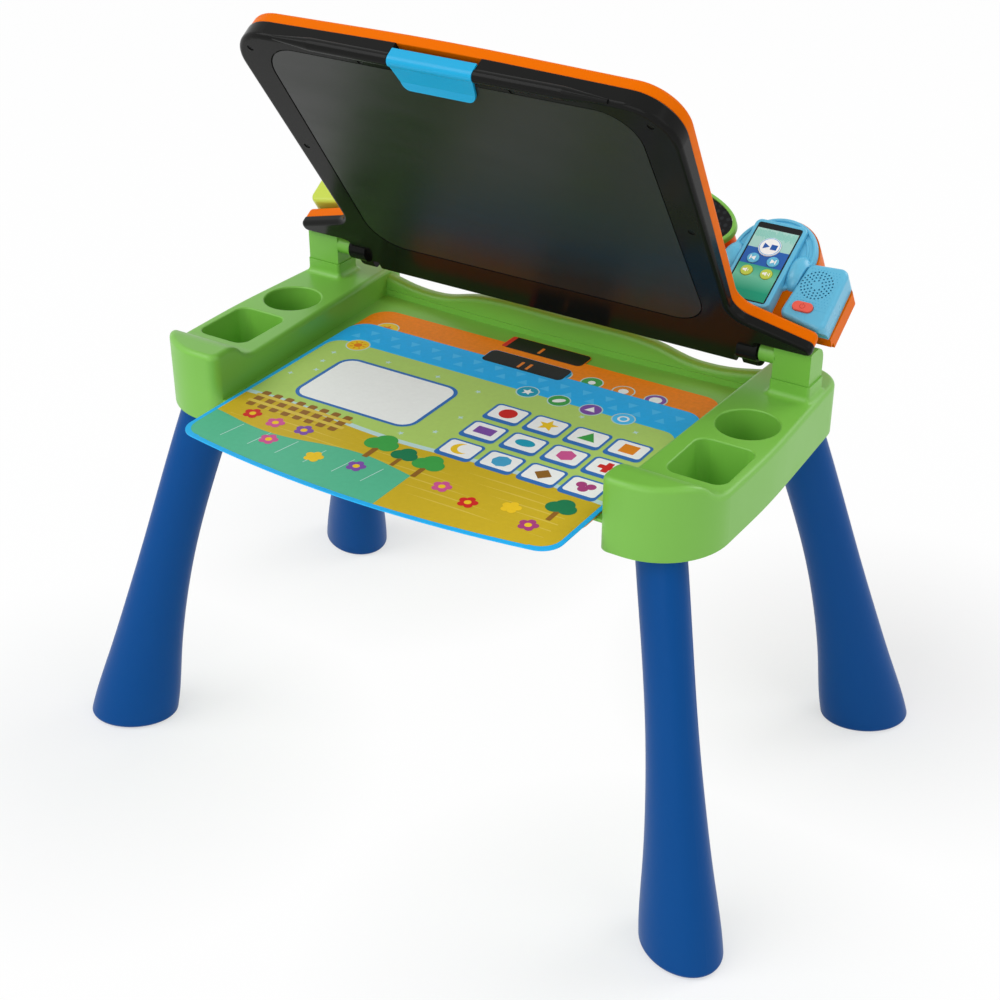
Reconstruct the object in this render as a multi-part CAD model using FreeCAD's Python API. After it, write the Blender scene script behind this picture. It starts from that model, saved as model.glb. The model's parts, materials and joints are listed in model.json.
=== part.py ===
import FreeCAD, Part
import os
from math import atan2, cos, degrees, pi, radians, sin, tan

# Children's learning table: a green tray on four splayed legs, with a hinged lid that is a desk top
# on one side and a drawing board on the other, and a sound console along the hinge.
# Millimetres. X runs to the right of a child sitting at it, Y to the back, Z up.
# The origin is on the floor under the middle of the four feet.

# Tray frame: two arms, a back rail and the tray floor in one moulding
frame_wall = 3.0
frame_back_y = 150.0
tray_half = 208.0
tray_taper = 12.0
tray_depth = 26.5
tray_front_set_back = 8.0
tray_edge_radius = 1.2
arm_width = 76.0
arm_step = 9.0
arm_depth = 49.0
arm_middle_ahead = 35.2
arm_inner_corner = 10.0
arm_front_corner_share = 0.842
arm_back_corner_share = 0.421
arm_middle_bend = 900.0
arm_rail_corner = 8.0
arm_edge_radius = 5.0
bumper_rise = 18.5
bumper_depth = 20.0
bumper_pocket_gap = 4.0
rail_set_in = 28.5
rail_thickness = 14.0
rail_bow = 6.5
rail_dip = 12.8
rail_overlap = 10.0
rail_edge_radius = 5.5
rail_ledge = 1.2
rail_ledge_rise = 6.0
# Along the rail from its middle to the arm: share of its half length, and share of the dip
rail_wave_shares = [(0.0, 0.0), (0.38, 0.04), (0.5, 0.38), (0.61, 0.86),
                    (0.71, 1.0), (0.83, 0.86), (0.95, 0.48), (1.0, 0.33)]

# Cup and finger pocket in each arm; shares are of the arm's width
cup_x_share = 0.471
cup_radius_share = 0.3645
cup_hinge_gap = 71.8
cup_floor_rise = 6.0
cup_wall = 2.5
cup_rim_radius = 1.6
hollow_gap = 12.5
pocket_x_share = 0.5
pocket_width_share = 0.72
pocket_length = 67.0
pocket_corner = 11.0
pocket_taper = 5.5
pocket_floor_rise = 8.0

# Legs: oval tubes that splay and flare out to the feet; shares are of the arm's width
leg_height = 342.0
leg_insert = 26.0
leg_wall = 3.0
leg_floor = 4.0
leg_half_long_share = 0.3355
leg_half_short_share = 0.2632
foot_flare_long = 18.0
foot_flare_short = 13.5
foot_edge_radius = 4.0
leg_turn = 32.0
leg_bow = 6.0
pocket_leg_gap = 30.4
front_leg_x_share = 0.6
front_leg_y_share = 0.4684
back_leg_x_share = 0.4053
back_leg_y_share = 0.3882
front_leg_splay = 75.6
back_leg_splay = 73.8
foot_overhang = 45.0
# Height shares of the leg's sections, and how much of the flare each has
leg_section_shares = [(0.0, 1.0), (0.03, 0.98), (0.2, 0.6), (0.377, 0.26), (0.547, 0.06),
                      (0.75, 0.0), (1.0, 0.0)]

# Covers under the arms, with the sockets that hold the legs
base_thickness = 3.0
fit_clearance = 0.3
socket_wall = 2.0

# Hinge posts: a foot moulded on each arm and a block that carries the pin; shares are of the arm's width
post_x_share = 0.35526
post_width_share = 0.46053
post_ahead = 8.5
post_behind = 19.0
post_step = 1.5
post_foot_rise = 14.5
post_cap = 11.0
post_heel_radius = 0.5
post_flow_radius = 6.0
post_edge_radius = 3.0
post_front_radius = 2.0
post_back_radius = 14.0
hinge_set_forward = 63.0
hinge_rise = 34.0
hinge_stub_radius = 9.0
hinge_stub_length = 14.0
hinge_pin_radius = 2.5
hinge_pin_grip = 18.0
running_clearance = 0.05
knuckle_gap = 1.5

# Lid: modelled flat about the hinge line, then turned open
lid_open = 56.0
lid_under = 5.0
seam_rise = 3.5
lid_wedge = 1.42
top_depth = 12.0
lid_overhang = 77.0
lid_side_gap = 5.0
lid_flare = 8.0
lid_crown = 6.0
lid_corner = 40.0
lid_crown_bend = 2500.0
ear_back = 15.0
ear_tip_depth = 12.0
ear_tip_radius_share = 0.5
ear_slope = 25.0
ear_overhang = 2.0
ear_fillet = 22.0
ear_inner_radius = 3.0
lid_tail = 24.0
lid_tail_radius = 6.0
shell_edge_radius = 4.5
shell_lip_radius = 1.0
top_edge_radius = 4.0
top_inset = 0.6
shell_rim = 18.0
lid_floor = 5.0
top_skin = 3.0
knuckle_radius = 11.0
knuckle_length = 19.0
notch_width = 7.5
notch_depth = 14.0

# Drawing board let into the lid's underside
board_side_margin = 26.0
board_back = 29.0
board_corner = 35.0
board_thickness = 2.2
board_sink = 0.3
board_groove = 1.2

# Touch panel on the desk side
pad_side_margin = 38.0
pad_front_margin = 20.0
pad_back = 66.0
pad_corner = 14.0
pad_thickness = 3.0
pad_sink = 0.6
pad_gap = 0.4

# Rolled edge and paper clip at the front of the lid
roll_radius = 5.5
roll_drop = 2.0
roll_half = 120.0
roll_taper = 38.0
roll_end_radius = 2.0
clip_half = 40.0
clip_slot_gap = 0.6
clip_slot_depth = 17.0
clip_jaw = 28.0
clip_jaw_narrowing = 6.0
clip_jaw_corner = 8.0
clip_heel_radius = 0.2
clip_plate = 2.2
clip_lip_length = 8.0
clip_lip_angle = 14.0
clip_tab_height = 8.0
clip_tab_radius = 0.7
clip_pin_radius = 1.5
clip_pin_grip = 8.0
spring_half = 9.0
spring_radius = 3.4
spring_wire_radius = 0.6
spring_turns = 8

# Console: upright box along the hinge
console_overhang = 2.0
console_front = 15.0
console_split = 0.0
console_back = 17.0
console_rise = 64.5
console_corner = 4.0
console_heel_radius = 1.0
console_wall = 2.5
console_trim = 1.0
console_swing_radius = 26.0
console_heel_depth = 8.0
console_heel_rise = 14.0
display_phone_gap = 41.0
display_half_height = 50.0
display_lift = 21.0
bezel_width = 3.6
bezel_depth = 6.0
bezel_round = 1.6
lens_depth = 4.5
lens_gap = 0.3
hump_inset = 5.5
led_side_margin = 32.0
led_head_margin = 18.0
led_board_thickness = 1.6
led_window_inset = 9.0

# Phone and its holder; key shares are of the phone's height
phone_pod_gap = 8.0
phone_width = 50.0
phone_height = 93.5
phone_foot = 8.5
phone_depth_foot = 15.0
phone_depth_head = 8.0
phone_corner = 6.0
phone_edge_radius = 1.8
phone_wall = 2.2
panel_side_margin = 4.0
panel_head_margin = 3.75
panel_corner = 2.5
panel_thickness = 1.2
key_gap = 0.3
key_height = 0.8
key_reach = 3.6
key_travel = 0.8
key_board_thickness = 1.4
key_post_radius = 2.0
play_key_radius_share = 0.1102
small_key_radius_share = 0.0588
play_key_height_share = 0.685
skip_key_height_share = 0.525
volume_key_height_share = 0.372
# Sideways place of the small keys, as a share of the panel's half width
key_column_share = 0.45
holder_shift = 3.0
holder_height_share = 0.6631
holder_radius = 39.5
holder_thickness = 4.0
holder_backing = 1.5
holder_gap = 0.2
grip_side_gap = 6.5
grip_height_share = 0.53
grip_half_width = 11.0
grip_half_height = 18.5
grip_half_depth = 11.0

# Speaker pod on the right and its twin on the left; shares are of the pod's width and the console's rise
pod_inset = 46.0
pod_end_gap = 1.5
pod_end_lean = 0.5
pod_lean_share = 0.1573
pod_foot_inner = 11.5
pod_foot_outer = 2.5
pod_head_inner_rise = 3.5
pod_head_outer_rise = 6.0
pod_corner = 8.0
pod_depth = 8.0
left_pod_depth = 20.0
pod_edge_radius = 4.0
pod_wall = 2.0
grille_x_share = 0.4944
grille_height_share = 0.7256
grille_rings = 4
grille_first_count = 8
grille_count_step = 6
grille_first_ring_share = 0.1169
grille_ring_step_share = 0.0652
grille_hole_radius = 0.85
driver_radius_share = 0.2584
driver_flange_share = 0.0674
driver_flange_depth = 2.0
driver_cone_depth = 8.0
driver_magnet_radius = 8.0
driver_magnet_depth = 5.0
button_x_share = 0.427
button_height_share = 0.3457
button_length = 19.0
button_width = 9.6
button_round_share = 0.999
button_edge_radius = 0.8
button_proud = 2.0
button_inside = 3.8
button_travel = 1.5
switch_play = 0.3
switch_half = 4.0
switch_plate = 1.6
switch_height = 1.4

# Electronics and battery compartment inside the console; shares are of the console's half width
circuit_left_share = -0.0876
circuit_right_share = 0.4672
circuit_foot = 7.0
circuit_head = 30.0
circuit_thickness = 1.6
standoff_height = 4.5
standoff_radius = 3.0
standoff_inset = 4.0
cell_radius = 7.25
cell_length = 50.5
cell_gap = 0.4
cell_rows = 2
cell_columns = 2
battery_wall = 2.0
battery_x_share = -0.365
battery_foot = 6.0
door_margin = 2.0
door_gap = 0.3

# Fasteners
screw_head_radius = 3.0
screw_head_depth = 1.6
screw_shank_radius = 1.4
screw_shank_length = 7.0
screw_sink = 0.8
screw_gap = 0.1
lid_screw_corner_inset = 21.0
lid_screw_corner_set_back = 23.5
lid_screw_side_inset = 9.5
lid_screw_side_share = 0.525
lid_screw_middle_x = 72.0
lid_screw_middle_set_back = 13.0
lid_screw_length = 18.0
boss_radius = 3.2
base_screw_gap = 4.2
back_screw_x_shares = [-0.78, -0.25, 0.25, 0.78]
back_screw_clear = 5.8

# Activity pages: printed cards that lie in the tray
page_side_gap = 6.0
page_play = 6.0
page_corner = 20.0
page_bow = 18.0
page_thickness = 1.0
page_gap = 0.15
upper_page_reach = 59.0
lower_page_reach = 22.0
tab_half = 44.0
tab_reach = 16.0
tab_corner = 6.0

# How far a cut runs past what it cuts, how near counts as lying in a plane, and how near as facing a way
overrun = 2.0
plane_near = 0.002
facing_near_share = 0.005

# Heights over the floor
arm_top = leg_height + arm_depth
tray_floor = arm_top - tray_depth
post_seam = arm_top + post_foot_rise
hinge_z = arm_top + hinge_rise
post_top = hinge_z + post_cap

# Depths, from the back of the frame forward
hinge_y = frame_back_y - hinge_set_forward
post_front_y = hinge_y - post_ahead
post_back_y = hinge_y + post_behind
cup_radius = cup_radius_share * arm_width
cup_y = hinge_y - cup_hinge_gap
pocket_y = cup_y - cup_radius - hollow_gap - pocket_length / 2
arm_outer_middle_y = cup_y - arm_middle_ahead
front_leg_y = pocket_y - pocket_length / 2 - pocket_leg_gap
arm_front_y = front_leg_y - front_leg_y_share * arm_width
bumper_run = pocket_y - pocket_length / 2 - bumper_pocket_gap - arm_front_y - bumper_depth
back_leg_y = frame_back_y - back_leg_y_share * arm_width
foot_y = frame_back_y + foot_overhang

# Widths, from the tray outward
arm_inner_back_x = tray_half
arm_inner_front_x = tray_half - tray_taper
arm_outer_middle_x = tray_half + arm_width
arm_outer_front_x = arm_inner_front_x + arm_width + arm_step
arm_outer_back_x = tray_half + arm_width - arm_step
cup_x = tray_half + cup_x_share * arm_width
pocket_x = tray_half + pocket_x_share * arm_width
pocket_width = pocket_width_share * arm_width
post_inner_x = tray_half + post_x_share * arm_width
post_outer_x = post_inner_x + post_width_share * arm_width
front_leg_x = arm_outer_front_x - front_leg_x_share * arm_width
back_leg_x = arm_outer_back_x - back_leg_x_share * arm_width
front_foot_x = front_leg_x + front_leg_splay
back_foot_x = back_leg_x + back_leg_splay
leg_half_long = leg_half_long_share * arm_width
leg_half_short = leg_half_short_share * arm_width

# Lid, measured from the hinge line
lid_face = -lid_under
lid_top = seam_rise + top_depth
lid_front = hinge_y - arm_front_y + lid_overhang
lid_half_back = tray_half - lid_side_gap
lid_half_front = lid_half_back + lid_flare
lid_half_tail = post_inner_x - hinge_stub_length - knuckle_gap
ear_half = post_outer_x + ear_overhang
ear_tip_front = ear_back + ear_tip_depth
ear_tip_radius = ear_tip_radius_share * ear_tip_depth
ear_root = ear_tip_front + ear_slope
board_half = lid_half_back - board_side_margin
board_front = lid_front - clip_slot_depth
pad_half = lid_half_back - pad_side_margin
pad_front = lid_front - pad_front_margin
roll_y = lid_front - roll_radius
lid_screw_corner_x = lid_half_front - lid_screw_corner_inset
lid_screw_corner_y = lid_front - lid_screw_corner_set_back
lid_screw_side_x = lid_half_back - lid_screw_side_inset
lid_screw_side_y = lid_screw_side_share * lid_front
lid_screw_middle_y = lid_front - lid_screw_middle_set_back

# Console and what sits on it
console_half = ear_half + console_overhang
pod_foot_inner_x = console_half - pod_inset
pod_foot_outer_x = console_half - pod_end_gap
pod_head_outer_x = pod_foot_outer_x - pod_end_lean
pod_width = pod_foot_outer_x - pod_foot_inner_x
pod_head_inner_x = pod_foot_inner_x + pod_lean_share * pod_width
pod_head_inner = console_rise + pod_head_inner_rise
pod_head_outer = console_rise + pod_head_outer_rise
grille_x = pod_foot_inner_x + grille_x_share * pod_width
grille_centre = grille_height_share * console_rise
driver_radius = driver_radius_share * pod_width
button_x = pod_foot_inner_x + button_x_share * pod_width
button_centre = button_height_share * console_rise
phone_x = pod_foot_inner_x - phone_pod_gap - phone_width / 2
panel_width = phone_width - 2 * panel_side_margin
panel_height = phone_height - 2 * panel_head_margin
play_key_radius = play_key_radius_share * phone_height
small_key_radius = small_key_radius_share * phone_height
holder_x = phone_x + holder_shift
holder_centre = phone_foot + holder_height_share * phone_height
grip_spread = phone_width / 2 + grip_side_gap
grip_centre = phone_foot + grip_height_share * phone_height
display_half = phone_x - display_phone_gap
display_centre = console_rise + display_lift
led_board_half = display_half - led_side_margin
led_board_half_height = display_half_height - led_head_margin
circuit_left = circuit_left_share * console_half
circuit_right = circuit_right_share * console_half
battery_x = battery_x_share * console_half
battery_half = (cell_columns * cell_length + (cell_columns + 1) * cell_gap) / 2 + battery_wall
battery_head = battery_foot + 2 * (cell_rows * cell_radius + battery_wall) + (cell_rows + 1) * cell_gap
back_screw_height = battery_head + back_screw_clear

# Pages
page_half = arm_inner_front_x - page_side_gap
page_length = frame_back_y - rail_set_in - rail_bow - arm_front_y - page_play
upper_page_front_y = arm_front_y - upper_page_reach
lower_page_front_y = arm_front_y - lower_page_reach

V = FreeCAD.Vector
X = V(1, 0, 0)
Y = V(0, 1, 0)
Z = V(0, 0, 1)
ORIGIN = V(0, 0, 0)


def save(name, shape):
    shape.exportStep("parts/" + name + ".step")


def mirrored(shape):
    return shape.mirror(ORIGIN, X)


def box(x0, x1, y0, y1, z0, z1):
    return Part.makeBox(x1 - x0, y1 - y0, z1 - z0, V(x0, y0, z0))


def rod_x(x0, x1, y, z, radius):
    return Part.makeCylinder(radius, x1 - x0, V(x0, y, z), X)


def rod_y(y0, y1, x, z, radius):
    return Part.makeCylinder(radius, y1 - y0, V(x, y0, z), Y)


def rod_z(z0, z1, x, y, radius):
    return Part.makeCylinder(radius, z1 - z0, V(x, y, z0), Z)


def rounded_outline(corners):
    """A flat face whose corners (x, y, radius) are rounded by tangent arcs."""
    count = len(corners)
    runs = []
    for i, (x, y, radius) in enumerate(corners):
        point = V(x, y, 0)
        before = (V(corners[i - 1][0], corners[i - 1][1], 0) - point).normalize()
        after = (V(corners[(i + 1) % count][0], corners[(i + 1) % count][1], 0) - point).normalize()
        half = before.getAngle(after) / 2
        inward = (before + after).normalize()
        reach = radius / tan(half)
        middle = point + inward * (radius / sin(half) - radius)
        runs.append((point + before * reach, middle, point + after * reach))
    edges = []
    for i, (start, middle, end) in enumerate(runs):
        edges.append(Part.Arc(start, middle, end).toShape())
        edges.append(Part.LineSegment(end, runs[(i + 1) % count][0]).toShape())
    return Part.Face(Part.Wire(edges))


def rounded_rectangle(x0, x1, y0, y1, radius):
    return rounded_outline([(x0, y0, radius), (x1, y0, radius), (x1, y1, radius), (x0, y1, radius)])


def ellipse_face(half_x, half_y):
    if half_x >= half_y:
        edge = Part.Ellipse(ORIGIN, half_x, half_y).toShape()
    else:
        edge = Part.Ellipse(ORIGIN, half_y, half_x).toShape()
        edge.rotate(ORIGIN, Z, 90)
    return Part.Face(Part.Wire([edge]))


def raised(face, z0, z1):
    """A flat outline in X and Y, drawn up from z0 to z1."""
    solid = face.extrude(V(0, 0, z1 - z0))
    solid.translate(V(0, 0, z0))
    return solid


def standing(face, y0, y1):
    """A flat outline whose second size is a height, drawn from y0 back to y1."""
    solid = face.extrude(V(0, 0, y1 - y0))
    solid.rotate(ORIGIN, X, 90)
    solid.translate(V(0, y1, 0))
    return solid


def across(face, x0, x1):
    """A flat outline of depth and height, drawn along X from x0 to x1."""
    solid = face.extrude(V(0, 0, x1 - x0))
    solid.rotate(ORIGIN, X, 90)
    solid.rotate(ORIGIN, Z, 90)
    solid.translate(V(x0, 0, 0))
    return solid


def level_edges(shape, z):
    """Edges that lie flat at one height."""
    return [e for e in shape.Edges if max(abs(e.BoundBox.ZMin - z), abs(e.BoundBox.ZMax - z)) < plane_near]


def depth_edges(shape, y):
    """Edges that lie at one depth."""
    return [e for e in shape.Edges if max(abs(e.BoundBox.YMin - y), abs(e.BoundBox.YMax - y)) < plane_near]


def joined(shapes):
    return shapes[0].multiFuse(shapes[1:]).removeSplitter()


def opened(shape):
    """A lid piece turned from flat about the hinge line to the open pose."""
    turned = shape.copy()
    turned.rotate(ORIGIN, X, -lid_open)
    turned.translate(V(0, hinge_y, hinge_z))
    return turned


def wedged(shape):
    """A piece of the desk side, which slopes a little from the board side and is thicker at the front."""
    turned = shape.copy()
    turned.rotate(ORIGIN, X, -lid_wedge)
    return turned


def beyond_seam(z0, z1):
    """A slab as large as the lid between two heights over the hinge line, sloping like the seam."""
    half = ear_half + overrun
    return wedged(box(-half, half, -lid_front - roll_radius - overrun, lid_tail + overrun, z0, z1))


def seam_edges(shape, z):
    """Edges that lie in a plane sloping like the seam."""
    flat = shape.copy()
    flat.rotate(ORIGIN, X, lid_wedge)
    boxes = [e.BoundBox for e in flat.Edges]
    return [e for e, b in zip(shape.Edges, boxes) if max(abs(b.ZMin - z), abs(b.ZMax - z)) < plane_near]


# Legs


def leg_point(top_x, top_y, foot_x, side_y, share):
    """Where the middle of the leg is at a share of its height."""
    along = V(foot_x, side_y, 0) + (V(top_x, top_y, 0) - V(foot_x, side_y, 0)) * share
    outward = V(foot_x - top_x, side_y - top_y, 0).normalize()
    return along + outward * (leg_bow * sin(pi * share)) + V(0, 0, leg_height * share)


def oval(centre, half_long, half_short, turn):
    edge = Part.Ellipse(ORIGIN, half_long, half_short).toShape()
    edge.rotate(ORIGIN, Z, turn)
    edge.translate(centre)
    return Part.Wire([edge])


def leg_loft(route, turn, stations, grow):
    """A solid through ovals at the stations (height share, flare share), grown on all sides."""
    wires = []
    for share, flare in stations:
        half_long = leg_half_long + foot_flare_long * flare + grow
        half_short = leg_half_short + foot_flare_short * flare + grow
        wires.append(oval(leg_point(*route, share), half_long, half_short, turn))
    return Part.makeLoft(wires, True)


def leg(route, turn):
    head_share = 1 + leg_insert / leg_height
    floor_share = leg_floor / leg_height
    outer = leg_loft(route, turn, leg_section_shares + [(head_share, 0.0)], 0)
    outer = outer.makeFillet(foot_edge_radius, level_edges(outer, 0))
    floor_flare = leg_section_shares[1][1]
    inner_stations = [(floor_share, floor_flare)] + leg_section_shares[2:] + [(head_share + floor_share, 0.0)]
    return outer.cut(leg_loft(route, turn, inner_stations, -leg_wall))


front_route = (front_leg_x, front_leg_y, front_foot_x, -foot_y)
back_route = (back_leg_x, back_leg_y, back_foot_x, foot_y)


# Tray frame


def arm_face():
    return rounded_outline([
        (arm_inner_front_x, arm_front_y, arm_inner_corner),
        (arm_outer_front_x, arm_front_y, arm_front_corner_share * arm_width),
        (arm_outer_middle_x, arm_outer_middle_y, arm_middle_bend),
        (arm_outer_back_x, frame_back_y, arm_back_corner_share * arm_width),
        (arm_inner_back_x, frame_back_y, arm_rail_corner),
    ])


def above_arm():
    """What is cut off above an arm: level at the back, rising in an S to the bumper at the front."""
    brow = arm_front_y + bumper_depth
    foot = brow + bumper_run
    bumper_top = arm_top + bumper_rise
    ceiling = bumper_top + overrun
    back = frame_back_y + overrun
    front = arm_front_y - overrun
    corners = [(brow, bumper_top), (front, bumper_top), (front, ceiling), (back, ceiling), (back, arm_top),
               (foot, arm_top)]
    points = [V(y, z, 0) for y, z in corners]
    edges = [Part.LineSegment(a, b).toShape() for a, b in zip(points, points[1:])]
    half_turn = atan2(bumper_rise, bumper_run)
    bend = bumper_run / 2 / sin(2 * half_turn)
    aside = bend * sin(half_turn)
    lift = bend * (1 - cos(half_turn))
    waist = (points[0] + points[-1]) / 2
    edges.append(Part.Arc(points[-1], V(foot - aside, arm_top + lift, 0), waist).toShape())
    edges.append(Part.Arc(waist, V(brow + aside, bumper_top - lift, 0), points[0]).toShape())
    return across(Part.Face(Part.Wire(edges)), 0, arm_outer_middle_x + overrun)


def pocket_loft(grow, floor_z):
    """The finger pocket's space, wider at the top, grown on all sides."""
    wires = []
    for z, shrink in ((floor_z, pocket_taper), (arm_top, 0)):
        half_x = pocket_width / 2 - shrink + grow
        half_y = pocket_length / 2 - shrink + grow
        face = rounded_rectangle(-half_x, half_x, -half_y, half_y, pocket_corner - shrink / 2 + grow)
        face.translate(V(pocket_x, pocket_y, z))
        wires.append(face.OuterWire)
    return Part.makeLoft(wires, True, True)


def arm_cavity():
    """The hollow inside the right arm, which goes up into the bumper."""
    inside = arm_face().makeOffset2D(-frame_wall)
    ceiling = arm_top - frame_wall
    bumper = raised(inside, ceiling - overrun, ceiling + bumper_rise)
    brow = arm_front_y + bumper_depth - frame_wall
    bumper = bumper.common(box(0, arm_outer_middle_x, arm_front_y, brow, 0, ceiling + bumper_rise))
    return raised(inside, leg_height - overrun, ceiling).fuse(bumper)


def arm():
    """The right arm, hollow from below, with its cup and pocket."""
    body = raised(arm_face(), leg_height, arm_top + bumper_rise + overrun / 2).cut(above_arm())
    rim = [e for e in body.Edges if e.BoundBox.ZMin > arm_top - overrun and wall_edge(body, e)]
    body = body.makeFillet(arm_edge_radius, rim)
    body = body.cut(arm_cavity())
    ceiling = arm_top - frame_wall
    cup_floor = leg_height + cup_floor_rise
    pocket_floor = leg_height + pocket_floor_rise
    cup = rod_z(cup_floor - cup_wall, ceiling, cup_x, cup_y, cup_radius + cup_wall)
    pocket = pocket_loft(cup_wall, pocket_floor - cup_wall)
    pocket = pocket.common(box(0, arm_outer_middle_x, arm_front_y, frame_back_y, leg_height, ceiling))
    bosses = [rod_z(leg_height + base_thickness, ceiling, x, y, boss_radius) for x, y in base_screw_places()]
    body = joined([body, cup, pocket] + bosses)
    for x, y in base_screw_places():
        body = body.cut(screw_hole(V(x, y, leg_height), Z, screw_shank_length))
    body = body.cut(rod_z(cup_floor, arm_top + overrun, cup_x, cup_y, cup_radius))
    body = body.cut(pocket_loft(0, pocket_floor))
    rims = [e for e in level_edges(body, arm_top) if near_hollow(e)]
    return body.makeFillet(cup_rim_radius, rims)


def wall_edge(body, edge):
    """Whether an edge borders an upright wall of the body."""
    middle = edge.valueAt((edge.FirstParameter + edge.LastParameter) / 2)
    for face in body.ancestorsOfType(edge, Part.Face):
        u, v = face.Surface.parameter(middle)
        if abs(face.normalAt(u, v).z) < facing_near_share:
            return True
    return False


def near_hollow(edge):
    """Whether a rim edge belongs to the cup or the pocket."""
    centre = edge.BoundBox.Center
    in_x = abs(centre.x - pocket_x) < cup_radius + cup_wall
    return in_x and pocket_y - pocket_length / 2 - overrun < centre.y < cup_y + cup_radius + overrun


def post_foot():
    foot = box(post_inner_x - post_step, post_outer_x + post_step, post_front_y - post_step,
               post_back_y + post_step, arm_top - frame_wall, post_seam)
    upright = [e for e in foot.Edges if max(e.BoundBox.XLength, e.BoundBox.YLength) < plane_near]
    return foot.makeFillet(post_edge_radius, upright)


def rail_wave():
    """The back rail's front view: its top dips on the way to each arm."""
    half = arm_inner_back_x + rail_overlap
    points = [V(half * along, arm_top - rail_dip * drop, 0) for along, drop in rail_wave_shares]
    points = [V(-p.x, p.y, 0) for p in reversed(points[1:])] + points
    curve = Part.BSplineCurve()
    curve.interpolate(points)
    foot = [points[-1], V(half, leg_height, 0), V(-half, leg_height, 0), points[0]]
    edges = [curve.toShape()] + [Part.LineSegment(a, b).toShape() for a, b in zip(foot, foot[1:])]
    return standing(Part.Face(Part.Wire(edges)), 0, frame_back_y + overrun)


def along_crest(edge):
    """Whether an edge runs along the rail's wavy top from arm to arm."""
    bounds = edge.BoundBox
    return bounds.XLength > 2 * arm_inner_back_x and bounds.ZMin > arm_top - rail_dip - overrun


def rail_bar(near, far, low, high):
    """A bar from arm to arm that bows to the front, between two depths behind the rail's front."""
    half = arm_inner_back_x + rail_overlap
    front = frame_back_y - rail_set_in
    face = [V(half, front + near, 0), V(0, front + near - rail_bow, 0), V(-half, front + near, 0)]
    back = [V(-half, front + far, 0), V(0, front + far - rail_bow, 0), V(half, front + far, 0)]
    ends = [Part.LineSegment(face[2], back[0]), Part.LineSegment(back[2], face[0])]
    curves = [Part.Arc(*face), ends[0], Part.Arc(*back), ends[1]]
    return raised(Part.Face(Part.Wire([c.toShape() for c in curves])), low, high)


def rail():
    """The back rail between the arms: round on top, with a low ledge at its foot, and hollow from below."""
    body = rail_bar(0, rail_thickness, leg_height, arm_top + overrun).common(rail_wave())
    body = body.makeFillet(rail_edge_radius, [e for e in body.Edges if along_crest(e)])
    body = body.fuse(rail_bar(-rail_ledge, frame_wall, leg_height, tray_floor + rail_ledge_rise))
    body = body.cut(rail_bar(frame_wall, rail_thickness - frame_wall, leg_height - overrun,
                             arm_top - rail_dip - rail_edge_radius))
    cavity = arm_cavity()
    return body.cut(cavity).cut(mirrored(cavity))


def tray_floor_plate():
    front = arm_front_y + tray_front_set_back
    back = frame_back_y - rail_set_in + frame_wall / 2
    half_front = arm_inner_front_x + frame_wall / 2
    half_back = arm_inner_back_x + frame_wall / 2
    corners = [(-half_front, front), (half_front, front), (half_back, back), (-half_back, back)]
    points = [V(x, y, 0) for x, y in corners]
    face = Part.Face(Part.makePolygon(points + points[:1]))
    plate = raised(face, tray_floor - frame_wall, tray_floor)
    front_edges = [e for e in depth_edges(plate, front) if e.BoundBox.XLength > half_front]
    return plate.makeFillet(tray_edge_radius, front_edges)


def near_post(edge):
    """Whether an edge on top of the arm runs round the post's foot."""
    centre = edge.BoundBox.Center
    reach = post_step + plane_near
    in_x = post_inner_x - reach < centre.x < post_outer_x + reach
    return in_x and post_front_y - reach < centre.y < post_back_y + reach


def tray_frame():
    right = joined([arm(), post_foot()])
    around = [e for e in level_edges(right, arm_top) if near_post(e)]
    right = right.makeFillet(post_flow_radius, around)
    return joined([right, mirrored(right), rail(), tray_floor_plate()])


def arm_base():
    """Cover under the right arm, with the two leg sockets."""
    inside = arm_face().makeOffset2D(-frame_wall - fit_clearance)
    plate = raised(inside, leg_height, leg_height + base_thickness)
    seat_share = 1 + leg_insert / leg_height
    cap_share = seat_share + socket_wall / leg_height
    below_share = 1 - base_thickness / leg_height
    legs = ((front_route, -leg_turn), (back_route, leg_turn))
    for route, turn in legs:
        stations = [(1.0, 0.0), (cap_share, 0.0)]
        plate = plate.fuse(leg_loft(route, turn, stations, fit_clearance + socket_wall))
    for route, turn in legs:
        plate = plate.cut(leg_loft(route, turn, [(below_share, 0.0), (seat_share, 0.0)], fit_clearance))
    for x, y in base_screw_places():
        plate = plate.cut(screw_hole(V(x, y, leg_height), Z, screw_shank_length))
    return plate.removeSplitter()


def base_screw_places():
    """Beside the cup, in front of it and behind it."""
    away = cup_radius + cup_wall + base_screw_gap
    return [(cup_x, cup_y - away), (cup_x, cup_y + away)]


# Fasteners


def screw(place, inward, length):
    """A pan-head screw whose head lies just under the surface at place."""
    seat = place + inward * screw_sink
    head = Part.makeCylinder(screw_head_radius, screw_head_depth, seat, inward)
    shank = Part.makeCylinder(screw_shank_radius, length, seat, inward)
    return head.fuse(shank).removeSplitter()


def screw_hole(place, inward, length):
    """The stepped hole that a screw sits in."""
    start = place - inward * overrun
    sunk = overrun + screw_sink
    head = Part.makeCylinder(screw_head_radius + screw_gap, sunk + screw_head_depth, start, inward)
    shank = Part.makeCylinder(screw_shank_radius + screw_gap, sunk + length + fit_clearance, start, inward)
    return head.fuse(shank)


# Hinge posts


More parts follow.
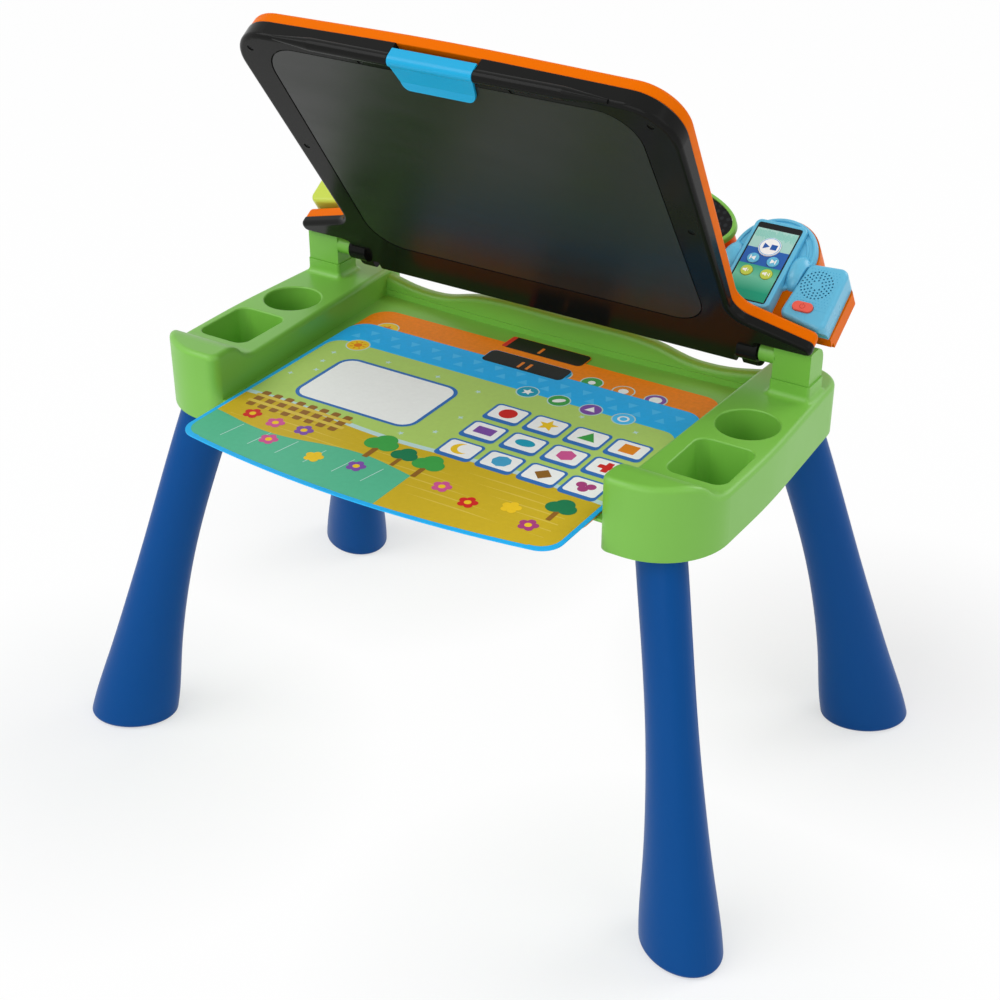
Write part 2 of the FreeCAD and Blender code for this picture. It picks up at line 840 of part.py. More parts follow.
def post_block():
    corner = [(post_front_y, post_seam, post_heel_radius), (post_back_y, post_seam, post_heel_radius),
              (post_back_y, post_top, post_back_radius), (post_front_y, post_top, post_front_radius)]
    block = across(rounded_outline(corner), post_inner_x, post_outer_x)
    stub_end = post_inner_x - hinge_stub_length
    stub = rod_x(stub_end, post_inner_x + post_step, hinge_y, hinge_z, hinge_stub_radius)
    bore = rod_x(stub_end - overrun, post_inner_x + hinge_pin_grip, hinge_y, hinge_z,
                 hinge_pin_radius + running_clearance)
    return joined([block, stub]).cut(bore)


def hinge_pin():
    inner = lid_half_tail - knuckle_length + fit_clearance
    return rod_x(inner, post_inner_x + hinge_pin_grip, hinge_y, hinge_z, hinge_pin_radius)


# Lid


def lid_corners():
    right = [
        (lid_half_front, -lid_front + lid_crown, lid_corner),
        (lid_half_back, -ear_root, ear_fillet),
        (ear_half, -ear_tip_front, ear_tip_radius),
        (ear_half, -ear_back, ear_tip_radius),
        (lid_half_tail, -ear_back, ear_inner_radius),
        (lid_half_tail, lid_tail, lid_tail_radius),
    ]
    left = [(-x, y, radius) for x, y, radius in reversed(right)]
    return [(0, -lid_front, lid_crown_bend)] + right + left


def lid_cavity(z0, z1):
    half = lid_half_back - shell_rim
    front = lid_front - lid_crown - shell_rim - clip_slot_depth
    face = rounded_rectangle(-half, half, -front, lid_tail - shell_rim, lid_corner - shell_rim)
    return raised(face, z0, z1)


def board_face(grow):
    return rounded_rectangle(-board_half - grow, board_half + grow, -board_front - grow, -board_back + grow,
                             board_corner + grow)


def lid_screw_places():
    right = [(lid_screw_corner_x, -lid_screw_corner_y), (lid_screw_side_x, -lid_screw_side_y),
             (lid_screw_middle_x, -lid_screw_middle_y)]
    return [V(side * x, y, lid_face) for x, y in right for side in (-1, 1)]


def roll():
    """The rounded bar along the middle of the lid's front edge, tapering at both ends."""
    z = lid_face + roll_drop
    bar = rod_x(-roll_half, roll_half, -roll_y, z, roll_radius)
    right = Part.makeCone(roll_radius, roll_end_radius, roll_taper, V(roll_half, -roll_y, z), X)
    return joined([bar, right, mirrored(right)])


def lid_under_shell():
    above = beyond_seam(seam_rise, lid_front)
    ceiling = lid_top + lid_under
    shell = raised(rounded_outline(lid_corners()), lid_face, ceiling)
    shell = shell.makeFillet(shell_edge_radius, level_edges(shell, lid_face)).cut(above)
    shell = shell.makeFillet(shell_lip_radius, seam_edges(shell, seam_rise))
    knuckle = rod_x(lid_half_tail - knuckle_length, lid_half_tail, 0, 0, knuckle_radius).cut(above)
    shell = joined([shell, roll()])
    notch_outer = lid_half_tail - knuckle_length
    notch = box(notch_outer - notch_width, notch_outer, lid_tail - notch_depth, lid_tail + overrun,
                lid_face - overrun, ceiling)
    shell = shell.cut(notch).cut(mirrored(notch))
    shell = joined([shell, knuckle, mirrored(knuckle)])
    shell = shell.cut(lid_cavity(lid_face + lid_floor, ceiling))
    groove = board_thickness + board_sink
    shell = shell.cut(raised(board_face(board_groove), lid_face - overrun, lid_face + groove))
    slot = clip_half + clip_slot_gap
    shell = shell.cut(box(-slot, slot, -lid_front - roll_radius - overrun, -lid_front + clip_slot_depth,
                          lid_face - roll_radius - overrun, ceiling))
    pin_end = clip_half + clip_pin_grip + fit_clearance
    shell = shell.cut(rod_x(-pin_end, pin_end, -roll_y, clip_axis_z(), clip_pin_radius + running_clearance))
    for place in lid_screw_places():
        shell = shell.cut(screw_hole(place, Z, lid_screw_length))
    bore = rod_x(lid_half_tail - knuckle_length - overrun, lid_half_tail + overrun, 0, 0,
                 hinge_pin_radius + running_clearance)
    return shell.cut(bore).cut(mirrored(bore))


def drawing_board():
    seat = lid_face + board_sink + board_thickness
    return raised(board_face(0), seat - board_thickness, seat)


def lid_top_shell():
    face = rounded_outline(lid_corners()).makeOffset2D(-top_inset)
    shell = raised(face, seam_rise, lid_top)
    shell = shell.makeFillet(top_edge_radius, level_edges(shell, lid_top))
    shell = shell.makeFillet(shell_lip_radius, level_edges(shell, seam_rise))
    pad_seat = lid_top - pad_sink - pad_thickness
    shell = shell.cut(lid_cavity(seam_rise - overrun, pad_seat - top_skin))
    shell = wedged(shell.cut(raised(pad_face(pad_gap), pad_seat, lid_top + overrun)))
    for place in lid_screw_places():
        shell = shell.cut(screw_hole(place, Z, lid_screw_length))
    return shell


def pad_face(grow):
    half = pad_half + grow
    return rounded_rectangle(-half, half, -pad_front - grow, -pad_back + grow, pad_corner)


def touch_panel():
    return wedged(raised(pad_face(0), lid_top - pad_sink - pad_thickness, lid_top - pad_sink))


# Paper clip


def clip_axis_z():
    return lid_face + roll_drop


def paper_clip():
    """Barrel on the pin, a jaw plate that presses on the board and a tab over the lid's end."""
    z = clip_axis_z()
    barrel = rod_x(-clip_half, clip_half, -roll_y, z, roll_radius)
    jaw_top = lid_face - fit_clearance
    jaw_end = -roll_y + clip_jaw
    narrow = clip_half - clip_jaw_narrowing
    jaw = rounded_outline([(-clip_half, -roll_y, clip_heel_radius), (clip_half, -roll_y, clip_heel_radius),
                           (narrow, jaw_end, clip_jaw_corner), (-narrow, jaw_end, clip_jaw_corner)])
    jaw = raised(jaw, jaw_top - clip_plate, jaw_top)
    bend = jaw_end - clip_lip_length
    lip = jaw.common(box(-clip_half, clip_half, bend, jaw_end + overrun, -lid_front, lid_front))
    flat = jaw.cut(box(-clip_half, clip_half, bend, jaw_end + overrun, -lid_front, lid_front))
    lip.rotate(V(0, bend, jaw_top), X, -clip_lip_angle)
    tab_back = -roll_y - roll_radius + clip_plate
    tab = box(-clip_half, clip_half, -roll_y - roll_radius, tab_back, z, z + clip_tab_height)
    tab = tab.makeFillet(clip_tab_radius, level_edges(tab, z + clip_tab_height))
    clip = joined([barrel, flat, lip, tab])
    end = clip_half + overrun
    clip = clip.cut(rod_x(-end, end, -roll_y, z, clip_pin_radius + running_clearance))
    room = box(-spring_half, spring_half, -roll_y - roll_radius + clip_plate, -roll_y + roll_radius + overrun,
               jaw_top + running_clearance, z + roll_radius + overrun)
    tunnel = rod_x(-spring_half, spring_half, -roll_y, z, spring_radius + spring_wire_radius + fit_clearance)
    return clip.cut(room).cut(tunnel)


def clip_pin():
    end = clip_half + clip_pin_grip
    return rod_x(-end, end, -roll_y, clip_axis_z(), clip_pin_radius)


def clip_spring():
    """Torsion spring wound round the clip's pin."""
    length = 2 * (spring_half - spring_wire_radius - fit_clearance)
    helix = Part.makeHelix(length / spring_turns, length, spring_radius)
    start = V(spring_radius, 0, 0)
    ring = Part.Wire([Part.Circle(start, Y, spring_wire_radius).toShape()])
    coil = Part.Wire(helix.Edges).makePipeShell([ring], True, True)
    coil.rotate(ORIGIN, Y, 90)
    coil.translate(V(-length / 2, -roll_y, clip_axis_z()))
    return coil


# Console


def console_solid(inset, y0, y1):
    """The console's outline, inset on all sides, from y0 to y1: a long box with a hump and an arch."""
    half = console_half - inset
    floor = lid_top + inset if inset else lid_top - console_trim
    head = lid_top + console_rise - inset
    corner = console_corner - inset
    long_box = rounded_outline([(-half, floor, console_heel_radius), (half, floor, console_heel_radius),
                                (half, head, corner), (-half, head, corner)])
    hump = ellipse_face(display_half - hump_inset - inset, display_half_height - hump_inset - inset)
    hump.translate(V(0, lid_top + display_centre, 0))
    radius = holder_radius + holder_backing - inset
    arch = Part.Face(Part.Wire([Part.Circle(V(holder_x, lid_top + holder_centre, 0), Z, radius).toShape()]))
    pod_side = pod_face(inset)
    faces = (long_box, hump, arch, pod_side, mirrored(pod_side))
    return joined([standing(face, y0, y1) for face in faces]).cut(beyond_seam(lid_face, lid_top))


def swing_room(grow):
    """The space over each hinge post that the console keeps clear of: round, with a step at the back."""
    end = console_half + overrun
    room = rod_x(lid_half_tail, end, 0, 0, console_swing_radius + grow)
    step = box(lid_half_tail, end, console_back - console_heel_depth - grow, console_back + overrun, 0,
               lid_top + console_heel_rise + grow)
    room = room.fuse(step)
    return room.fuse(mirrored(room))


def display_cylinder(half, half_height, y0, y1):
    face = ellipse_face(half, half_height)
    face.translate(V(0, lid_top + display_centre, 0))
    return standing(face, y0, y1)


def console_front_shell():
    shell = console_solid(0, -console_front, console_split)
    inside = console_solid(console_wall, -console_front + console_wall, console_split + overrun)
    shell = shell.cut(swing_room(0)).cut(inside.cut(swing_room(console_wall)))
    window = display_cylinder(led_board_half - led_window_inset, led_board_half_height - led_window_inset,
                              -console_front - overrun, -console_front + console_wall + overrun)
    room = pod_room()
    shell = shell.cut(window).cut(room).cut(mirrored(room))
    back_of_wall = -console_front + console_wall
    posts = [rod_y(back_of_wall, back_of_wall + standoff_height, x, z, standoff_radius)
             for x, z in standoff_places()]
    back = console_back - console_wall
    bosses = [rod_y(back_of_wall, back, place.x, place.z, boss_radius) for place in back_screw_places()]
    shell = joined([shell] + posts + bosses)
    for place in back_screw_places():
        shell = shell.cut(screw_hole(place, -Y, screw_shank_length))
    return shell


def pod_room():
    """The end of the front shell that the pod takes the place of."""
    front = -console_front - pod_depth - overrun
    back = console_split + overrun
    end = console_half + overrun
    head = lid_top + 2 * console_rise
    outline = standing(pod_face(-fit_clearance), front, back)
    beside = box(pod_head_inner_x + pod_corner, end, front, back, 0, head)
    below = box(pod_foot_inner_x + pod_corner, end, front, back, 0, lid_top + pod_foot_inner)
    return joined([outline, beside, below])


def standoff_places():
    return [(x, lid_top + z) for x in (circuit_left + standoff_inset, circuit_right - standoff_inset)
            for z in (circuit_foot + standoff_inset, circuit_head - standoff_inset)]


def console_back_cover():
    cover = console_solid(0, console_split, console_back)
    inside = console_solid(console_wall, console_split - overrun, console_back - console_wall)
    cover = cover.cut(swing_room(0)).cut(inside.cut(swing_room(console_wall)))
    cover = cover.cut(door_solid(door_gap, overrun))
    for place in back_screw_places():
        cover = cover.cut(screw_hole(place, -Y, screw_shank_length))
    return cover


def back_screw_places():
    z = lid_top + back_screw_height
    return [V(console_half * share, console_back, z) for share in back_screw_x_shares]


def door_solid(grow, reach):
    """The battery door, which fills an opening in the back cover."""
    half = battery_half - door_margin + grow
    low = lid_top + battery_foot + door_margin - grow
    high = lid_top + battery_head - door_margin + grow
    face = rounded_rectangle(battery_x - half, battery_x + half, low, high, door_margin + grow)
    return standing(face, console_back - console_wall - reach, console_back + reach)


def battery_box():
    half = battery_half
    back = console_back - console_wall - running_clearance
    depth = 2 * (cell_radius + cell_gap) + battery_wall
    floor = lid_top + battery_foot
    head = lid_top + battery_head
    case = box(battery_x - half, battery_x + half, back - depth, back, floor, head)
    room = box(battery_x - half + battery_wall, battery_x + half - battery_wall, back - depth + battery_wall,
               back + overrun, floor + battery_wall, head - battery_wall)
    return case.cut(room)


def battery_cells():
    back = console_back - console_wall - running_clearance
    y = back - cell_radius - cell_gap
    first = lid_top + battery_foot + battery_wall + cell_gap + cell_radius
    start = battery_x - battery_half + battery_wall + cell_gap
    cells = []
    for row in range(cell_rows):
        z = first + row * (2 * cell_radius + cell_gap)
        for column in range(cell_columns):
            x = start + column * (cell_length + cell_gap)
            cells.append(rod_x(x, x + cell_length, y, z, cell_radius))
    return Part.makeCompound(cells)


def main_board():
    y = -console_front + console_wall + standoff_height
    return box(circuit_left, circuit_right, y, y + circuit_thickness,
               lid_top + circuit_foot, lid_top + circuit_head)


def display_bezel():
    front = -console_front - bezel_depth
    ring = display_cylinder(display_half, display_half_height, front, -console_front)
    ring = ring.makeFillet(bezel_round, depth_edges(ring, front))
    hole = display_cylinder(display_half - bezel_width, display_half_height - bezel_width,
                            front - overrun, -console_front + overrun)
    return ring.cut(hole)


def display_lens():
    inset = bezel_width + lens_gap
    return display_cylinder(display_half - inset, display_half_height - inset, -console_front - lens_depth,
                            -console_front)


def led_board():
    y = -console_front + console_wall
    return display_cylinder(led_board_half, led_board_half_height, y, y + led_board_thickness)


# Phone


def phone_lean():
    return degrees(atan2(phone_depth_foot - phone_depth_head, phone_height))


def on_phone(shape):
    """A piece drawn on an upright phone face, leaned back and set at the phone's front."""
    placed = shape.copy()
    placed.rotate(ORIGIN, X, -phone_lean())
    placed.translate(V(phone_x, -console_front - phone_depth_foot, lid_top + phone_foot))
    return placed


def phone_front_cut(sink):
    """All the space in front of the phone's leaning face, or in front of a plane sunk behind it."""
    half = phone_width
    return on_phone(box(-half, half, -phone_width, sink, -phone_height, 2 * phone_height))


def phone_outline(grow):
    half = phone_width / 2 + grow
    face = rounded_rectangle(-half, half, -grow, phone_height + grow, phone_corner + grow)
    face.translate(V(phone_x, lid_top + phone_foot, 0))
    return face


def panel_solid(grow, sink):
    half = panel_width / 2 + grow
    low = panel_head_margin - grow
    face = rounded_rectangle(-half, half, low, panel_head_margin + panel_height + grow, panel_corner)
    return on_phone(standing(face, -overrun if grow else 0, sink))


def key_places():
    """Each key's name, sideways place, height up the phone and radius."""
    aside = key_column_share * panel_width / 2
    skip = skip_key_height_share * phone_height
    volume = volume_key_height_share * phone_height
    return [
        ("play_key", 0, play_key_height_share * phone_height, play_key_radius),
        ("back_key", -aside, skip, small_key_radius),
        ("next_key", aside, skip, small_key_radius),
        ("quieter_key", -aside, volume, small_key_radius),
        ("louder_key", aside, volume, small_key_radius),
    ]


def key_wells():
    """Round holes through the panel and the phone's front for the keys."""
    depth = panel_thickness + phone_wall + overrun
    return [on_phone(rod_y(-overrun, depth, x, z, radius + key_gap)) for _, x, z, radius in key_places()]


def phone_body():
    body = standing(phone_outline(0), -console_front - phone_depth_foot - overrun, -console_front)
    body = body.cut(phone_front_cut(0))
    front_ring = [e for e in body.Edges if wall_edge_y(body, e)]
    body = body.makeFillet(phone_edge_radius, front_ring)
    inside = standing(phone_outline(-phone_wall), -console_front - phone_depth_foot, -console_front + overrun)
    body = body.cut(inside.cut(phone_front_cut(panel_thickness + phone_wall)))
    body = body.cut(panel_solid(fit_clearance, panel_thickness))
    for well in key_wells():
        body = body.cut(well)
    body = joined([body] + key_posts())
    return body.cut(holder_plate(holder_backing + holder_gap, holder_radius + holder_gap))


def wall_edge_y(body, edge):
    """Whether an edge borders the phone's leaning front face."""
    lean = radians(phone_lean())
    for face in body.ancestorsOfType(edge, Part.Face):
        u, v = face.Surface.parameter(edge.CenterOfMass)
        normal = face.normalAt(u, v)
        if normal.getAngle(V(0, -cos(lean), sin(lean))) < facing_near_share:
            return True
    return False


def phone_panel():
    panel = panel_solid(0, panel_thickness)
    for well in key_wells():
        panel = panel.cut(well)
    return panel


def phone_key(x, z, radius):
    key = rod_y(-key_height, key_reach, x, z, radius)
    key = key.makeFillet(key_height / 2, depth_edges(key, -key_height))
    return on_phone(key)


def key_board_depth():
    """How far the board with the key contacts lies behind the phone's face."""
    return key_reach + key_travel + fit_clearance


def key_posts():
    """Short posts behind the phone's front, between the small keys, that the key board sits on."""
    wall = panel_thickness + phone_wall / 2
    heights = [share * phone_height for share in (skip_key_height_share, volume_key_height_share)]
    return [on_phone(rod_y(wall, key_board_depth(), 0, z, key_post_radius)) for z in heights]


def key_board():
    start = key_board_depth()
    half = panel_width / 2
    low = volume_key_height_share * phone_height - 2 * small_key_radius
    high = play_key_height_share * phone_height + play_key_radius
    return on_phone(box(-half, half, start, start + key_board_thickness, low, high))


def holder_plate(thickness, radius):
    return rod_y(-console_front - thickness, -console_front, holder_x, lid_top + holder_centre, radius)


def phone_holder():
    """Round plate behind the phone with a rounded grip on each side."""
    front = -console_front - holder_thickness
    plate = holder_plate(holder_thickness, holder_radius)
    plate = plate.makeFillet(holder_thickness / 2, depth_edges(plate, front))
    shapes = [plate]
    ahead = box(0, console_half, -console_front - grip_half_depth - overrun, -console_front,
                lid_top, lid_top + 2 * console_rise)
    for side in (-1, 1):
        grip = Part.makeSphere(1)
        size = FreeCAD.Matrix()
        size.scale(grip_half_width, grip_half_depth, grip_half_height)
        grip = grip.transformGeometry(size)
        grip.translate(V(phone_x + side * grip_spread, -console_front, lid_top + grip_centre))
        shapes.append(grip.common(ahead))
    back = -console_front - holder_backing
    room = standing(phone_outline(holder_gap), -console_front - phone_depth_foot, back)
    return joined(shapes).cut(room).cut(pod_room())


# Pods


def pod_face(inset):
    face = rounded_outline([
        (pod_foot_inner_x, lid_top + pod_foot_inner, pod_corner),
        (pod_foot_outer_x, lid_top + pod_foot_outer, pod_corner),
        (pod_head_outer_x, lid_top + pod_head_outer, pod_corner),
        (pod_head_inner_x, lid_top + pod_head_inner, pod_corner),
    ])
    return face.makeOffset2D(-inset) if inset else face


def pod(depth):
    """A rounded box on the console's end, open to the back where it sits on the back cover."""
    front = -console_front - depth
    cover = standing(pod_face(0), front, console_split)
    cover = cover.makeFillet(pod_edge_radius, depth_edges(cover, front)).cut(swing_room(0))
    room = standing(pod_face(pod_wall), front + pod_wall, console_split + overrun)
    return cover.cut(room.cut(swing_room(pod_wall)))


def grille_holes():
    front = -console_front - pod_depth
    holes = []
    for ring in range(grille_rings):
        radius = (grille_first_ring_share + ring * grille_ring_step_share) * pod_width
        count = grille_first_count + grille_count_step * ring
        for i in range(count):
            angle = 2 * pi * (i + ring / 2) / count
            holes.append(rod_y(front - overrun, front + pod_wall + overrun, grille_x + radius * cos(angle),
                               lid_top + grille_centre + radius * sin(angle), grille_hole_radius))
    return Part.makeCompound(holes)


def capsule(grow, y0, y1):
    half = button_length / 2 + grow
    tall = button_width / 2 + grow
    face = rounded_rectangle(-half, half, -tall, tall, tall * button_round_share)
    face.translate(V(button_x, lid_top + button_centre, 0))
    return standing(face, y0, y1)


def speaker_pod():
    front = -console_front - pod_depth
    slot = capsule(fit_clearance, front - overrun, front + pod_wall + overrun)
    return pod(pod_depth).cut(grille_holes()).cut(slot)


def power_button():
    front = -console_front - pod_depth
    button = capsule(0, front - button_proud, front + button_inside)
    return button.makeFillet(button_edge_radius, depth_edges(button, front - button_proud))


def power_switch():
    """Push switch on a plate that bridges the pod behind the button."""
    top = -console_front - pod_depth + button_inside + button_travel + switch_play
    seat = top + switch_height
    low = lid_top + button_centre - switch_half
    high = low + 2 * switch_half
    plate = standing(pod_face(pod_wall + running_clearance), seat, seat + switch_plate)
    plate = plate.common(box(0, console_half, seat, seat + switch_plate, low, high))
    body = box(button_x - switch_half, button_x + switch_half, top, seat, low, high)
    return joined([plate, body])


def speaker_driver():
    wall = -console_front - pod_depth + pod_wall
    z = lid_top + grille_centre
    seat = wall + driver_flange_depth
    flange = rod_y(wall, seat, grille_x, z, driver_radius + driver_flange_share * pod_width)
    cone = Part.makeCone(driver_radius, driver_magnet_radius, driver_cone_depth, V(grille_x, seat, z), Y)
    start = seat + driver_cone_depth
    magnet = rod_y(start, start + driver_magnet_depth, grille_x, z, driver_magnet_radius)
    return joined([flange, cone, magnet])


# Activity pages


def page(front_y, z):
    """A card with a bowed front edge, and a tab to pull it by in the middle of its back edge."""
    back = front_y + page_length
    left, right = V(-page_half, front_y, 0), V(page_half, front_y, 0)
    bow = Part.Arc(left, V(0, front_y - page_bow, 0), right).toShape()
    sides = Part.makePolygon([right, V(page_half, back, 0), V(-page_half, back, 0), left])
    card = raised(Part.Face(Part.Wire([bow] + sides.Edges)), z, z + page_thickness)
    upright = [e for e in card.Edges if e.BoundBox.ZLength > page_thickness / 2]
    card = card.makeFillet(page_corner, upright)
    tab = rounded_rectangle(-tab_half, tab_half, back - page_corner, back + tab_reach, tab_corner)
    return joined([card, raised(tab, z, z + page_thickness)])


def build():
    os.makedirs("parts", exist_ok=True)
    front_leg = leg(front_route, -leg_turn)
    back_leg = leg(back_route, leg_turn)
    save("front_leg_right", front_leg)
    save("front_leg_left", mirrored(front_leg))
    save("back_leg_right", back_leg)
    save("back_leg_left", mirrored(back_leg))
    save("tray_frame", tray_frame())
    base = arm_base()
    save("arm_base_right", base)
    save("arm_base_left", mirrored(base))
    base_screws = [screw(V(x, y, leg_height), Z, screw_shank_length) for x, y in base_screw_places()]
    save("base_screws", Part.makeCompound(base_screws + [mirrored(s) for s in base_screws]))
    block = post_block()
    save("hinge_post_right", block)
    save("hinge_post_left", mirrored(block))
    pin = hinge_pin()
    save("hinge_pin_right", pin)
    save("hinge_pin_left", mirrored(pin))

    lid_screws = [screw(place, Z, lid_screw_length) for place in lid_screw_places()]
    back_screws = [screw(place, -Y, screw_shank_length) for place in back_screw_places()]
    lid_pieces = {
        "lid_under_shell": lid_under_shell(),
        "lid_top_shell": lid_top_shell(),
        "drawing_board": drawing_board(),
        "touch_panel": touch_panel(),
        "lid_screws": Part.makeCompound(lid_screws),
        "paper_clip": paper_clip(),
        "clip_pin": clip_pin(),
        "clip_spring": clip_spring(),
        "console_front": console_front_shell(),
        "console_back": console_back_cover(),
        "console_screws": Part.makeCompound(back_screws),
        "battery_door": door_solid(0, 0),
        "battery_box": battery_box(),
        "battery_cells": battery_cells(),
        "main_board": main_board(),
        "display_bezel": display_bezel(),
        "display_lens": display_lens(),
        "led_board": led_board(),
        "phone_holder": phone_holder(),
        "phone_body": phone_body(),
        "phone_panel": phone_panel(),
        "key_board": key_board(),
        "speaker_pod": speaker_pod(),
        "left_pod": mirrored(pod(left_pod_depth)),
        "speaker_driver": speaker_driver(),
        "power_button": power_button(),
        "power_switch": power_switch(),
    }
    for name, x, z, radius in key_places():
        lid_pieces[name] = phone_key(x, z, radius)
    for name, piece in lid_pieces.items():
        save(name, opened(piece))

    lower_z = tray_floor + page_gap
    save("lower_page", page(lower_page_front_y, lower_z))
    save("upper_page", page(upper_page_front_y, lower_z + page_thickness + page_gap))


build()
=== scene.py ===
# %% [markdown]
# A child's learning table: a green tray on four blue legs, a hinged lid with a black drawing board under it,
# and an orange sound console along the hinge. The hard pieces come ready from the CAD model, so this lesson
# is about finishes and small detail. The first cell opens that model and keeps its box, to compare with at
# the end.

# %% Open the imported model
import json
import math
import bpy
import bmesh
from mathutils import Matrix, Vector


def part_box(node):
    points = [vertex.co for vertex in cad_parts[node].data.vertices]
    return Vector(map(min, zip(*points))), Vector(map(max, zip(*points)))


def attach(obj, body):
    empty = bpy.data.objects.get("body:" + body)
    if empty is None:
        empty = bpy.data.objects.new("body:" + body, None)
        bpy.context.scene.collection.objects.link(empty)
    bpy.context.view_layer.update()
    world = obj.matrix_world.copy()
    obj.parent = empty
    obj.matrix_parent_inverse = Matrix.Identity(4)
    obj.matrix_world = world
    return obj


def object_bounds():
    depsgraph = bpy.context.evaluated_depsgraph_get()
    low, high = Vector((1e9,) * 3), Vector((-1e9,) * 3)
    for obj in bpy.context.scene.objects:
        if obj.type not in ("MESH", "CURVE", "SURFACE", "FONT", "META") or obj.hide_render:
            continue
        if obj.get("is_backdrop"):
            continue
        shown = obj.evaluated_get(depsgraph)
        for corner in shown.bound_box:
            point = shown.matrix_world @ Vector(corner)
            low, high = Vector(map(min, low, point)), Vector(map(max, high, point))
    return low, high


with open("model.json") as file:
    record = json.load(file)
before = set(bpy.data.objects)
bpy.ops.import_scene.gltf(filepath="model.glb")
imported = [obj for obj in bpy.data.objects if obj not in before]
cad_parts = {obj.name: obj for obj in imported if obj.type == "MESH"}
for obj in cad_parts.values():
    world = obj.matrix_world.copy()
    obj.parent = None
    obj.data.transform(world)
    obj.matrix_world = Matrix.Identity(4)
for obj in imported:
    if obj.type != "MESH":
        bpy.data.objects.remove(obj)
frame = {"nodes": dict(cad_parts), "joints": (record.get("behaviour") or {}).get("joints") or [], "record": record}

cad_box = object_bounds()
scene = bpy.context.scene
scene.view_settings.view_transform = "Standard"
nodes = frame["nodes"]
MM = 0.001
print("pieces from CAD:", len(nodes), "box:", [round(c, 3) for corner in cad_box for c in corner])

# %% [markdown]
# The camera stands where the photographer stood: in front, to the right and above. A lens of about 64 mm on a
# 36 mm sensor gives the same gentle perspective. One helper turns any lamp or camera towards a point.

# %% Camera
SENSOR_WIDTH = 36.0
FOCAL_LENGTH = 63.9
CAMERA_PLACE = (0.7764, -1.2206, 1.0992)
CAMERA_TARGET = (0.0362, -0.0497, 0.2832)


def aim(thing, place, target):
    thing.location = place
    thing.rotation_euler = (Vector(target) - Vector(place)).to_track_quat("-Z", "Y").to_euler()


lens = bpy.data.cameras.new("studio_camera")
lens.sensor_width = SENSOR_WIDTH
lens.lens = FOCAL_LENGTH
lens.clip_start = 0.05
lens.clip_end = 50.0
camera = bpy.data.objects.new("studio_camera", lens)
scene.collection.objects.link(camera)
aim(camera, CAMERA_PLACE, CAMERA_TARGET)
scene.camera = camera
print("camera is", round(camera.location.length, 2), "m from the origin")

# %% [markdown]
# Product pictures of toys are lit by large soft boxes, so shadows have no hard edge. Area lamps do that here:
# a strong one high on the left, a weak one in front that reaches under the lid, one on the right and one
# behind to pick out the rims.


# %% Soft boxes
def softbox(name, place, target, size, watts):
    lamp = bpy.data.lights.new(name, "AREA")
    lamp.shape = "SQUARE"
    lamp.size = size
    lamp.energy = watts
    box = bpy.data.objects.new(name, lamp)
    scene.collection.objects.link(box)
    aim(box, place, target)


softbox("softbox_left", (-1.5, -1.5, 2.5), target=(0.0, 0.0, 0.35), size=1.8, watts=36.0)
softbox("softbox_front", (0.1, -2.4, 1.3), target=(0.0, 0.1, 0.4), size=1.4, watts=12.0)
softbox("softbox_right", (2.2, -0.4, 1.8), target=(0.0, 0.0, 0.4), size=1.6, watts=9.0)
softbox("softbox_back", (1.3, 1.9, 2.3), target=(0.0, 0.0, 0.4), size=1.4, watts=22.0)

# %% [markdown]
# The world gives the even part of the light. A Light Path node tells which kind of ray asks: what the camera,
# a mirror or clear plastic looks at is pure white, and light that bounces on comes from a weaker, cooler sky.
# The small helpers for nodes that come first are used in most materials below.


# %% World
def feed(tree, socket, value):
    """Links a socket to another node's output, or gives it a fixed value."""
    if isinstance(value, bpy.types.NodeSocket):
        tree.links.new(value, socket)
    else:
        socket.default_value = value


def calc(tree, operation, a, b=0.0):
    """One Math node; each side is a number or a socket."""
    node = tree.nodes.new("ShaderNodeMath")
    node.operation = operation
    feed(tree, node.inputs[0], a)
    feed(tree, node.inputs[1], b)
    return node.outputs[0]


def seen_ray(tree):
    """A value of 1 for what the camera, a mirror or clear plastic looks at, and 0 for other light."""
    path = tree.nodes.new("ShaderNodeLightPath").outputs
    looked_at = calc(tree, "MAXIMUM", path["Is Camera Ray"], path["Is Glossy Ray"])
    return calc(tree, "MAXIMUM", looked_at, path["Is Transmission Ray"])


def blend_shaders(tree, share, first, second, output_kind):
    """Shows the first shader where the share is 0 and the second where it is 1."""
    blend = tree.nodes.new("ShaderNodeMixShader")
    output = tree.nodes.new(output_kind)
    tree.links.new(share, blend.inputs[0])
    tree.links.new(first.outputs[0], blend.inputs[1])
    tree.links.new(second.outputs[0], blend.inputs[2])
    tree.links.new(blend.outputs[0], output.inputs[0])


world = bpy.data.worlds.new("studio_world")
scene.world = world
world.use_nodes = True
sky_tree = world.node_tree
sky_tree.nodes.clear()
even = sky_tree.nodes.new("ShaderNodeBackground")
even.inputs["Color"].default_value = (0.95, 0.97, 1.0, 1)
even.inputs["Strength"].default_value = 0.5
white = sky_tree.nodes.new("ShaderNodeBackground")
white.inputs["Color"].default_value = (1, 1, 1, 1)
white.inputs["Strength"].default_value = 1.0
blend_shaders(sky_tree, seen_ray(sky_tree), even, white, "ShaderNodeOutputWorld")
print("world has", len(sky_tree.nodes), "nodes")

# %% [markdown]
# The floor is one large square, a hair below the feet.

